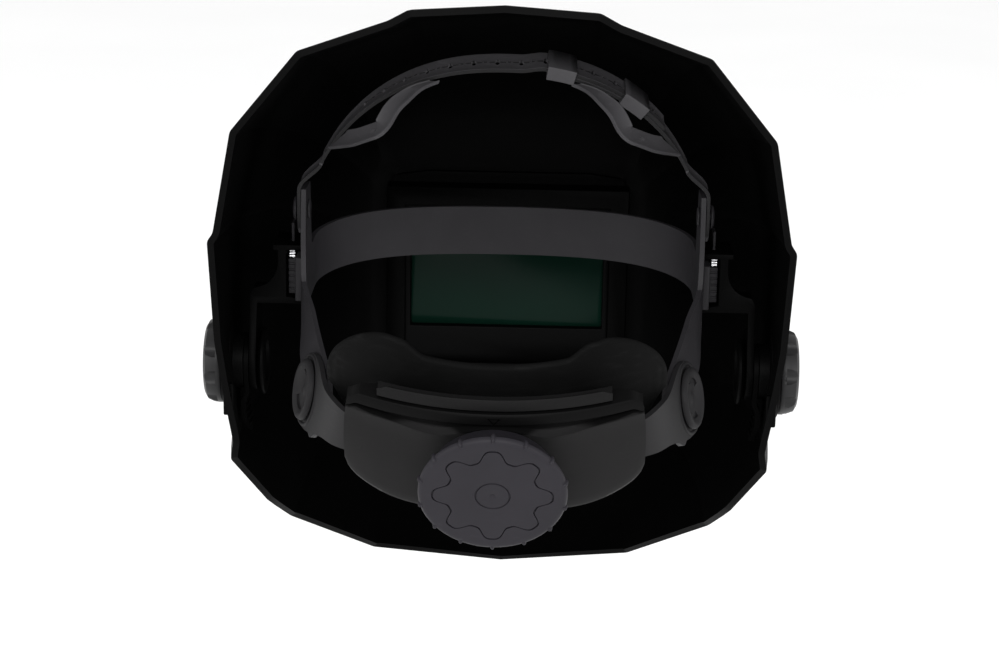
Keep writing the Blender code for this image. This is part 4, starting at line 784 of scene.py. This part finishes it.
def make_ratchet_back():
    rows = []
    count = 60
    offset = -COVER_DEPTH - 0.3 * MM
    for step in range(count + 1):
        share = -1.0 + 2.0 * step / count
        across = share * 45.0 * MM
        low = 0.8 * cover_bottom(across / COVER_HALF_WIDTH)
        ends = 2.0 * MM * ease(abs(share), 0.9, 1.0)
        rail = cover_top(across / COVER_HALF_WIDTH) + 0.9 * MM
        top = rail + 5.5 * MM - ends
        section = ((offset, low + ends), (offset, 0.5 * low), (offset, 0.4 * COVER_TOP), (offset, rail),
                   (-1.4 * MM, rail + 0.1 * MM), (-1.0 * MM, rail + 0.5 * MM), (-1.0 * MM, top - 0.7 * MM),
                   (-1.5 * MM, top))
        rows.append([on_arc(COVER_RADIUS, across, away, up) for away, up in section])
    bm = grid(rows)
    turn_faces(bm, lambda normal, middle: (normal.y if abs(normal.y) > 0.2 else normal.z) < 0.0)
    dressed("back_rail", thickened(bm, 2.4 * MM, False), RAIL_BLACK, HEADGEAR, "ratchet_back",
            0.3 * MM, 40.0, 2, CRADLE)


PAD_HALF_WIDTH, PAD_RADIUS = 66.3 * MM, 84.0 * MM


def pad_top(across):
    lobe = 5.0 * MM * ease(across, 26.2 * MM, 35.0 * MM)
    corner = max(across - 40.0 * MM, 0.0) / (PAD_HALF_WIDTH - 40.0 * MM)
    return lerp(12.0 * MM, 43.4 * MM + lobe, round_share(corner, 1.6))


def make_nape_pad():
    """Padded sheet with a rolled rim and a shallow channel that follows its upper edge."""
    front, back = [], []
    count = 48
    offset = -12.5 * MM
    levels = 22
    for step in range(-count, count + 1):
        across = PAD_HALF_WIDTH * math.sin(math.pi / 2 * step / count)
        top = pad_top(abs(across))
        low = lerp(-16.0 * MM, 8.0 * MM, ease(abs(across), 0.70 * PAD_HALF_WIDTH, PAD_HALF_WIDTH))
        depth = PAD_RADIUS - math.sqrt(PAD_RADIUS ** 2 - across ** 2)
        out_row, in_row = [], []
        for level in range(levels + 1):
            share = 0.5 - 0.5 * math.cos(math.pi * level / levels)
            up = lerp(low, top, share)
            rim = min(top - up, up - low, (PAD_HALF_WIDTH - abs(across)) * 1.2) / MM
            roll = -0.35 * math.exp(-((rim - 3.2) / 0.8) ** 2) - 0.25 * math.exp(-((rim - 7.5) / 1.0) ** 2)
            soft = 1.0 - math.sqrt(max(1.0 - (1.0 - min(rim / 0.7, 1.0)) ** 2, 0.0))
            out_row.append(Vector((across, offset - depth + (roll * (1.0 - soft) - 1.5 * soft) * MM, up)))
            crown = 0.7 * min(rim / 9.0, 1.0)
            in_row.append(Vector((across, offset - depth - (3.0 - 1.5 * soft + crown) * MM, up)))
        front.append(out_row)
        back.append(in_row)
    rows = [out_row + list(reversed(in_row)) for out_row, in_row in zip(front, back)]
    bm = grid(rows, closed_across=True)
    bmesh.ops.holes_fill(bm, edges=[e for e in bm.edges if e.is_boundary], sides=0)
    weld(bm, 0.00003)
    pad = dressed("nape_pad_cushion", bm, PAD_FOAM, HEADGEAR, "nape_pad", 0.0, 80.0, 2, CRADLE)


def star_outline(count, inner, outer, lobes):
    outline = []
    for step in range(count):
        angle = 2 * math.pi * step / count
        wave = 0.5 + 0.5 * math.cos(lobes * angle)
        wave = ease(wave, 0.0, 1.0)
        reach = lerp(inner, outer, wave)
        outline.append((reach * math.cos(angle), reach * math.sin(angle)))
    return outline


def make_ratchet_knob():
    r, depth, edge, hub = 28.1, 11.0, 2.4, 6.4
    profile = in_mm((0.0, depth - 0.6), (0.7, depth - 0.5), (1.2, depth - 0.1), (1.7, depth),
                    (hub - 0.35, depth), (hub - 0.15, depth - 0.5), (hub + 0.15, depth - 0.5),
                    (hub + 0.35, depth), (0.86 * r, depth), (0.91 * r, depth + 0.05),
                    (0.95 * r, depth - 0.1), (0.98 * r, depth - 0.6), (r, depth - 1.5), (r, depth - edge),
                    (0.97 * r, depth - edge - 0.7), (0.84 * r, 0.0), (5.0, 0.0), (5.0, -5.7), (0.0, -5.7))
    facing = Matrix.Translation((0, 0.3 * MM, 0.8 * MM)) @ Matrix.Rotation(-math.pi / 2, 4, "X")
    knob = rough_piece(turned(profile, 112))
    groove = []
    for spread, height in ((0.35, 1.0), (0.35, -0.9), (-0.35, -0.9), (-0.35, 1.0)):
        outline = star_outline(160, (17.4 + spread) * MM, (22.6 + spread) * MM, 8)
        groove.append([Vector((x, y, (depth + height) * MM)) for x, y in outline])
    cut(knob, grid(groove + groove[:1], closed_across=True))
    ribs = bmesh.new()
    for step in range(14):
        turn = Matrix.Rotation(2 * math.pi * (step + 0.5) / 14, 4, "Z")
        place = turn @ Matrix.Translation(Vector((r - 0.5, 0, depth - 2.0)) * MM)
        shape = place @ Matrix.Diagonal((2.1, 1.5, 3.6, 1.0))
        bmesh.ops.create_uvsphere(ribs, u_segments=14, v_segments=9, radius=0.62 * MM, matrix=shape)
    cut(knob, ribs, operation="UNION")
    dressed("ratchet_knob_cap", taken(knob), KNOB_PLUM, HEADGEAR, "ratchet_knob",
            0.18 * MM, 35.0, 2, CRADLE @ facing)


# Pivot knobs, bolts, levers and side arms


def make_tension_knob(name, side):
    """Round grip with broad finger lobes and a stepped face."""
    r, depth, start = 18.5 * MM, 8.0 * MM, 119.8 * MM
    profile = ((0.0, 0.86 * depth), (0.42 * r, 0.86 * depth), (0.46 * r, depth), (0.62 * r, depth),
               (0.82 * r, 0.95 * depth), (0.93 * r, 0.80 * depth), (0.985 * r, 0.50 * depth),
               (r, 0.25 * depth), (r, 0.06 * depth), (0.985 * r, 0.0), (5.3 * MM, 0.0),
               (5.3 * MM, 0.55 * depth), (0.0, 0.55 * depth))
    knob = rough_piece(turned(profile, 90))
    flutes = bmesh.new()
    lobes, flute_radius, ring = 9, 4.5 * MM, r + 2.5 * MM
    for x, y in circle(lobes):
        spot = (ring * x, ring * y)
        add_cylinder(flutes, flute_radius, (*spot, 0.25 * depth), (*spot, 1.2 * depth), 40)
    cut(knob, flutes)
    dressed("tension_grip_" + name, taken(knob), GRIP_BLACK, "tension_knob_" + name, "tension_knob_" + name,
            0.4 * MM, 35.0, 3, on_tilt_axis(side, start))


def make_pivot_bolt(name, side):
    r, depth, start = 14.5 * MM, 3.4 * MM, 104.8 * MM
    profile = ((0.0, 19.5 * MM), (4.6 * MM, 19.5 * MM), (5.0 * MM, 19.1 * MM), (5.0 * MM, 0.0),
               (0.62 * r, 0.0), (0.94 * r, -0.35 * depth), (r, -0.52 * depth), (r, -0.75 * depth),
               (0.97 * r, -0.92 * depth), (0.90 * r, -depth), (0.62 * r, -0.97 * depth),
               (0.50 * r, -0.55 * depth), (0.0, -0.50 * depth))
    dressed("pivot_head_" + name, turned(profile, 72), ARM_BLACK, CARRIAGE, "pivot_bolt_" + name,
            0.2 * MM, 35.0, 2, on_tilt_axis(side, start))


def make_angle_lever(name, side):
    """Flat hub and a flared paddle with finger ribs on its inner face."""
    hub, reach, paddle, thickness = 12.0 * MM, 31.5 * MM, 8.5 * MM, 2.0 * MM
    rows = []
    count = 44
    for step in range(count + 1):
        share = 0.5 - 0.5 * math.cos(math.pi * step / count)
        drop = lerp(-hub, reach, share)
        if drop < 0.0:
            half = math.sqrt(max(hub ** 2 - drop ** 2, 0.0))
        else:
            neck = lerp(hub, paddle, ease((drop + hub) / (hub + reach), 0.3, 0.6))
            tip = reach - drop
            curve = math.sqrt(max(paddle ** 2 - (paddle - tip) ** 2, 0.0))
            half = min(neck, curve) if tip < paddle else neck
        flare = 1.7 * MM * (ease(drop, hub, 0.53 * reach) - ease(drop, 0.60 * reach, reach))
        inner = 108.4 * MM + flare
        width = max(half, 1.0 * MM)
        spread = (-1.0, -0.8, -0.4, 0.0, 0.4, 0.8, 1.0)
        row = [Vector((side * inner, width * across, -drop)) for across in spread]
        row += [Vector((side * (inner + thickness), -width * across, -drop)) for across in spread]
        rows.append(row)
    lever = rough_piece(grid(rows, closed_across=True, caps=True))
    ribs = bmesh.new()
    for step in range(4):
        drop = lerp(0.62, 0.88, step / 3) * reach
        inner = 108.4 * MM + 1.7 * MM * (1.0 - ease(drop, 0.60 * reach, reach))
        half = 5.2 * MM - 0.5 * MM * abs(step - 1.5)
        low, high = sorted((side * (inner - 0.5 * MM), side * (inner + 0.6 * MM)))
        add_box(ribs, (low, -half, -drop - 0.5 * MM), (high, half, -drop + 0.5 * MM))
    cut(lever, ribs, operation="UNION")
    bore = bmesh.new()
    add_cylinder(bore, 5.3 * MM, (side * 100.0 * MM, 0, 0), (side * 120.0 * MM, 0, 0))
    cut(lever, bore)
    dressed("angle_paddle_" + name, taken(lever), ARM_BLACK, "angle_lever_" + name, "angle_lever_" + name,
            0.25 * MM, 35.0)


def make_slide_latch(name, side):
    """Ribbed dark block with a thumb spike and a small bright spring above it."""
    inner, outer = 88.4 * MM, 91.8 * MM
    middle = -6.0 * MM

    def span(near, far):
        return min(side * near, side * far), max(side * near, side * far)

    low, high = span(inner, outer)
    block = bmesh.new()
    add_box(block, (low, middle - 7.5 * MM, 30.8 * MM), (high, middle + 7.5 * MM, 46.2 * MM))
    body = rough_piece(block)
    thumb = bmesh.new()
    near, far = span(89.5 * MM, 90.7 * MM)
    add_box(thumb, (near, middle - 3.6 * MM, 40.0 * MM), (far, middle + 3.6 * MM, 61.0 * MM))
    cut(body, thumb, operation="UNION")
    grooves = bmesh.new()
    for step in range(5):
        z = lerp(33.0, 44.0, step / 4) * MM
        add_box(grooves, (low - MM, middle + 6.9 * MM, z - 0.45 * MM),
                (high + MM, middle + 9.0 * MM, z + 0.45 * MM))
    cut(body, grooves)
    dressed("slide_latch_body_" + name, taken(body), HEADGEAR_GREY, CARRIAGE, "slide_latch_" + name,
            0.25 * MM, 30.0)
    spring = bmesh.new()
    for step in range(3):
        z = lerp(47.3, 49.7, step / 2) * MM
        add_cylinder(spring, 0.55 * MM, (side * 88.9 * MM, middle + 7.0 * MM, z),
                     (side * 91.4 * MM, middle + 7.0 * MM, z), 16)
    near, far = span(89.3 * MM, 89.9 * MM)
    add_box(spring, (near, middle - 5.0 * MM, 46.4 * MM), (far, middle + 6.8 * MM, 50.6 * MM))
    dressed("latch_spring_" + name, spring, LATCH_STEEL, CARRIAGE, None, 0.12 * MM, 30.0)


def make_carriage(name, side):
    rounded_node("side_arm_" + name, ARM_BLACK, CARRIAGE, 0.5 * MM, 28.0)
    make_slide_latch(name, side)
    rounded_node("slide_track_" + name, HEADGEAR_GREY, HEADGEAR, 0.5 * MM)


# Crown straps

CROWN_HEIGHT, CROWN_SETBACK = 134.0 * MM, 15.0 * MM
ARCH_HALF_WIDTH, ARCH_SPRING, ARCH_EXPONENT = 85.0 * MM, 45.0 * MM, 2.25
STRAP_THICKNESS, STRAP_WIDTH, STRAP_LEAN = 1.4 * MM, 19.0 * MM, 10.0
STRAP_FOOT, STRAP_KNEE_LENGTH = 60.0 * MM, 12.0 * MM
OVERLAP_START, OVERLAP_END, TAIL_START = 6.0 * MM, 64.0 * MM, 17.0 * MM
GAP = 0.3 * MM


def arch_height(x):
    return ARCH_SPRING + (CROWN_HEIGHT - ARCH_SPRING) * round_share(x / ARCH_HALF_WIDTH, ARCH_EXPONENT)


def crown_share(z):
    """How far a height is from the lugs to the crown."""
    return min(max((z - LUG_TOP) / (CROWN_HEIGHT - LUG_TOP), 0.0), 1.0)


def arch_point(x, lift):
    step = 0.4 * MM
    before, after = max(abs(x) - step, 0.0), min(abs(x) + step, ARCH_HALF_WIDTH)
    slope = (arch_height(after) - arch_height(before)) / (after - before)
    normal = Vector((-slope * (1.0 if x >= 0 else -1.0), 0.0, 1.0)).normalized()
    z = arch_height(x)
    return Vector((x, lerp(LUG_SETBACK, CROWN_SETBACK, crown_share(z)), z)) + normal * lift, normal


def lift_at(x):
    return (STRAP_THICKNESS + GAP) * ease(-x, OVERLAP_START, TAIL_START - 1.0 * MM)


def foot_points(side):
    outer = BAND_HALF_WIDTH + BAND_THICKNESS + GAP
    knee_top = LUG_TOP + STRAP_KNEE_LENGTH
    share = (knee_top - ARCH_SPRING) / (CROWN_HEIGHT - ARCH_SPRING)
    target = ARCH_HALF_WIDTH * round_share(share, ARCH_EXPONENT)
    points = [Vector((side * outer, LUG_SETBACK, lerp(STRAP_FOOT, LUG_TOP, step / 6))) for step in range(7)]
    for step in range(1, 10):
        x = lerp(outer, target, ease(step / 10, 0.0, 1.0))
        points.append(Vector((side * x, LUG_SETBACK, lerp(LUG_TOP, knee_top, step / 10))))
    return points, target


def strap_across(height):
    """Width direction of the front strap: level at the lugs, leaning back over the crown."""
    lean = math.radians(STRAP_LEAN) * crown_share(height)
    return Vector((0.0, math.cos(lean), -math.sin(lean)))


def strap_grid(points):
    """Strip with a raised bead along both edges, swept along the arch."""
    rows = []
    for here, point in enumerate(points):
        back = strap_across(point.z)
        along = (points[min(here + 1, len(points) - 1)] - points[max(here - 1, 0)]).normalized()
        out = along.cross(back).normalized()
        if out.dot(point - Vector((0, 12, 60)) * MM) < 0:
            out = -out
        half = STRAP_WIDTH / 2
        run = (point - points[0]).length
        if run < half:
            half *= max(round_share(1.0 - run / half, 2.4), 0.35)
        bead, width = 1.5 * MM, half
        section = [(-width, 0.0), (width, 0.0), (width, 1.0), (width - 0.6 * bead, 1.08),
                   (width - bead, 0.82), (-width + bead, 0.82), (-width + 0.6 * bead, 1.08), (-width, 1.0)]
        rows.append([point + back * across + out * (STRAP_THICKNESS * high) for across, high in section])
    return grid(rows, closed_across=True, caps=True)


def arch_frame(x, lift):
    point, normal = arch_point(x, lift)
    across = strap_across(point.z)
    along = across.cross(normal).normalized()
    return Matrix.Translation(point) @ axes(along, across, along.cross(across))


def arch_places(start, pitch, count):
    made = []
    x = start
    for _ in range(count):
        made.append(x)
        near = arch_point(x, 0.0)[0]
        step = 0.5 * MM
        while (arch_point(x - step, 0.0)[0] - near).length < pitch:
            step += 0.1 * MM
        x -= step
    return made


def cross_hole(size):
    """Four-pointed hole, long along the strap."""
    outline = []
    for step in range(32):
        angle = 2 * math.pi * step / 32
        reach = 0.20 * size + 0.30 * size * (0.5 + 0.5 * math.cos(4 * angle)) ** 1.6
        outline.append((1.10 * reach * math.cos(angle), 0.92 * reach * math.sin(angle)))
    return outline


def arch_steps(start, end, count):
    first, last = math.asin(start / ARCH_HALF_WIDTH), math.asin(end / ARCH_HALF_WIDTH)
    return [ARCH_HALF_WIDTH * math.sin(lerp(first, last, step / count)) for step in range(count + 1)]


def add_pin_bore(bm, side):
    near, far = side * 75.0 * MM, side * 95.0 * MM
    add_cylinder(bm, PIN_BORE, (near, LUG_SETBACK, PIN_HEIGHT), (far, LUG_SETBACK, PIN_HEIGHT))


def make_crown_straps():
    foot, width = foot_points(1.0)
    arch = [arch_point(x, lift_at(x))[0] for x in arch_steps(width, -OVERLAP_END, 90)]
    left = rough_piece(strap_grid(foot + arch))
    holes = bmesh.new()
    places = arch_places(57.4 * MM, 9.7 * MM, 14)
    for x in places:
        add_prism(holes, cross_hole(6.8 * MM), arch_frame(x, lift_at(x) - 2 * MM), 6 * MM)
    add_pin_bore(holes, 1.0)
    cut(left, holes)
    dots = bmesh.new()
    for x, after in zip(places, places[1:]):
        middle = (x + after) / 2
        spot = arch_frame(middle, lift_at(middle) + STRAP_THICKNESS * 0.5)
        add_cylinder(dots, 0.9 * MM, spot @ Vector((0, 0, 0)), spot @ Vector((0, 0, 0.95 * MM)), 16)
    cut(left, dots, operation="UNION")
    dressed("crown_strap_upper", taken(left), STRAP_GREY, HEADGEAR, "crown_strap_left", 0.22 * MM, 40.0)
    foot, width = foot_points(-1.0)
    arch = [arch_point(x, 0.0)[0] for x in arch_steps(-width, -TAIL_START, 60)]
    right = rough_piece(strap_grid(foot + arch))
    hole = bmesh.new()
    add_pin_bore(hole, -1.0)
    cut(right, hole)
    dressed("crown_strap_lower", taken(right), STRAP_GREY, HEADGEAR, "crown_strap_right", 0.22 * MM, 40.0)


REAR_STRAP_ROUTE = (
    ("top", 0.000, 1.200, 0.975),
    ("crown_run", 0.300, 1.400, 0.955),
    ("merge", 0.424, 1.930, 0.937),
    ("upright", 0.527, 2.333, 0.890),
    ("window_corner", 0.584, 2.600, 0.824),
    ("window_run", 0.718, 1.767, 0.776),
    ("junction", 0.853, 1.067, 0.750),
)


def cornered_route(points, reach, samples):
    """Straight runs between the points, with each corner turned over a short reach."""
    made = [points[0]]
    for before, corner, after in zip(points, points[1:], points[2:]):
        near = min(reach, 0.4 * (corner - before).length)
        far = min(reach, 0.4 * (after - corner).length)
        start = corner + (before - corner).normalized() * near
        end = corner + (after - corner).normalized() * far
        made.append(lerp(made[-1], start, 0.5))
        for step in range(samples + 1):
            t = step / samples
            made.append(lerp(lerp(start, corner, t), lerp(corner, end, t), t))
    made.append(points[-1])
    return made


def make_rear_strap():
    half = [Vector((x * ARCH_HALF_WIDTH, y * CROWN_SETBACK, z * CROWN_HEIGHT))
            for _, x, y, z in REAR_STRAP_ROUTE]
    route = mirrored(reversed(half[1:])) + half
    points = cornered_route(route, 4.0 * MM, 6)
    centre = Vector((0.0, -2.0 * CROWN_SETBACK, 0.25 * CROWN_HEIGHT))
    rows, middles = [], []
    for here, point in enumerate(points):
        before, after = points[max(here - 1, 0)], points[min(here + 1, len(points) - 1)]
        across = (point - centre).cross(after - before).normalized()
        if across.y < 0:
            across = -across
        out = across.cross(after - before).normalized()
        if out.dot(point - centre) < 0:
            out = -out
        w, t = lerp(1.3 * MM, 4.1 * MM, ease(abs(point.x) / ARCH_HALF_WIDTH, 0.34, 0.52)), 1.4 * MM
        bead = 0.28 * w
        section = ((-w, 0.0), (w, 0.0), (w, t), (w - 0.4 * bead, 1.08 * t), (w - bead, 0.8 * t),
                   (-w + bead, 0.8 * t), (-w + 0.4 * bead, 1.08 * t), (-w, t))
        rows.append([point + across * a + out * b for a, b in section])
        middles.append((point, across, out, (after - before).normalized()))
    strap = rough_piece(grid(rows, closed_across=True, caps=True))
    lean = (CROWN_SETBACK - LUG_SETBACK) / (CROWN_HEIGHT - LUG_TOP)
    edge = STRAP_WIDTH / 2 + GAP
    low, high = LUG_TOP - 0.05, CROWN_HEIGHT + 0.05
    turn = Matrix(((0, 0, 1, 0), (1, 0, 0, 0), (0, 1, 0, 0), (0, 0, 0, 1)))
    side_view = Matrix.Translation((-200.0 * MM, 0, 0)) @ turn
    trim = bmesh.new()
    add_prism(trim, [(-0.1, low), (LUG_SETBACK + lean * (low - LUG_TOP) + edge, low),
                     (LUG_SETBACK + lean * (high - LUG_TOP) + edge, high), (-0.1, high)], side_view, 0.4)
    cut(strap, trim)
    holes = bmesh.new()
    for here in (9, len(middles) - 10):
        point, across, out, along = middles[here]
        place = Matrix.Translation(point - out * 2 * MM) @ axes(along, across, out)
        add_prism(holes, in_mm(*((1.9 * x, 0.8 * y) for x, y in circle(20))), place, 6 * MM)
    cut(strap, holes)
    dressed("crown_strap_back", taken(strap), REAR_STRAP_GREY, HEADGEAR, "crown_strap_rear", 0.2 * MM, 40.0)


def make_pin(name, side):
    stack, r, depth = 4.7, 5.0, 1.6
    profile = in_mm((0.0, stack + depth), (0.45 * r, stack + depth), (0.78 * r, stack + 0.85 * depth),
                    (0.95 * r, stack + 0.6 * depth), (r, stack + 0.35 * depth), (r, stack),
                    (2.5, stack), (2.5, -0.3), (4.25, -0.3), (3.75, -1.0), (0.0, -1.0))
    place = on_tilt_axis(side, BAND_HALF_WIDTH, LUG_SETBACK, PIN_HEIGHT)
    dressed("crown_stud_" + name, turned(profile, 48), HEADGEAR_GREY, HEADGEAR,
            "crown_pin_" + name, 0.2 * MM, 35.0, 2, place)


def make_headgear():
    make_headband()
    make_crown_straps()
    make_rear_strap()
    for loop in ("strap_loop_inner", "strap_loop_outer"):
        rounded_node(loop, REAR_STRAP_GREY, HEADGEAR, 0.3 * MM)
    make_ratchet_cover()
    make_ratchet_back()
    make_nape_pad()
    make_ratchet_knob()


# Studio


def make_camera():
    """Camera behind and above the helmet, at the photograph's angle."""
    azimuth, elevation, roll = math.radians(180.955), math.radians(16.0), math.radians(-1.0144)
    distance, focal = 1.014, 2340.0
    photo_width, photo_height, sensor = 999.0, 651.0, 36.0
    axis_across, axis_down = 501.07, 365.56
    back = Vector((math.sin(azimuth) * math.cos(elevation), -math.cos(azimuth) * math.cos(elevation),
                   math.sin(elevation)))
    right = (-back).cross(Vector((0, 0, 1))).normalized()
    up = right.cross(-back).normalized()
    across = right * math.cos(roll) - up * math.sin(roll)
    upward = up * math.cos(roll) + right * math.sin(roll)
    dx = (axis_across - photo_width / 2) / focal * distance
    dy = -(axis_down - photo_height / 2) / focal * distance
    eye = TILT_AXIS + back * distance - across * dx - upward * dy
    data = bpy.data.cameras.new("camera")
    data.lens = focal / photo_width * sensor
    data.sensor_width = sensor
    data.clip_start = 0.05
    camera = bpy.data.objects.new("camera", data)
    camera.matrix_world = Matrix.Translation(eye) @ axes(across, upward, back)
    bpy.context.scene.collection.objects.link(camera)
    bpy.context.scene.camera = camera


def area_light(name, place, target, size, power, size_y=None):
    data = bpy.data.lights.new(name, "AREA")
    data.energy = power
    data.size = size
    if size_y:
        data.shape = "RECTANGLE"
        data.size_y = size_y
    lamp = bpy.data.objects.new(name, data)
    lamp.location = place
    lamp.rotation_euler = (Vector(place) - Vector(target)).to_track_quat("Z", "Y").to_euler()
    bpy.context.scene.collection.objects.link(lamp)


def make_studio():
    world = bpy.data.worlds.new("studio")
    world.use_nodes = True
    world.node_tree.nodes["Background"].inputs["Color"].default_value = (1.0, 1.0, 1.0, 1.0)
    world.node_tree.nodes["Background"].inputs["Strength"].default_value = 1.0
    bpy.context.scene.world = world
    bpy.context.scene.view_settings.view_transform = "Standard"
    paint = Paint("floor_white")
    cloud = paint.noise(3.0, 2.0)
    white = paint.finish(paint.mix(cloud, grey(0.90), grey(0.94)), 0.75 + cloud * 0.1)
    floor = bmesh.new()
    add_box(floor, (-6.0, -6.0, -0.47), (6.0, 6.0, -0.45))
    ground = as_object(floor, "floor")
    ground.data.materials.append(white)
    centre = (0.0, 0.0, -0.12)
    area_light("key_behind", (0.0, 1.90, 0.82), centre, 1.8, 46.0, 0.7)
    area_light("left_soft", (1.7, 1.1, 0.35), centre, 0.9, 16.0)
    area_light("right_soft", (-1.7, 1.1, 0.35), centre, 0.9, 16.0)


make_camera()
make_studio()
make_shell()
make_window()
make_headgear()
for side_name, side_sign in SIDES.items():
    make_rear_arm(side_name, side_sign)
    make_disc(side_name, side_sign)
    make_tension_knob(side_name, side_sign)
    make_pivot_bolt(side_name, side_sign)
    make_angle_lever(side_name, side_sign)
    make_carriage(side_name, side_sign)
    make_pin(side_name, side_sign)

bpy.context.view_layer.update()
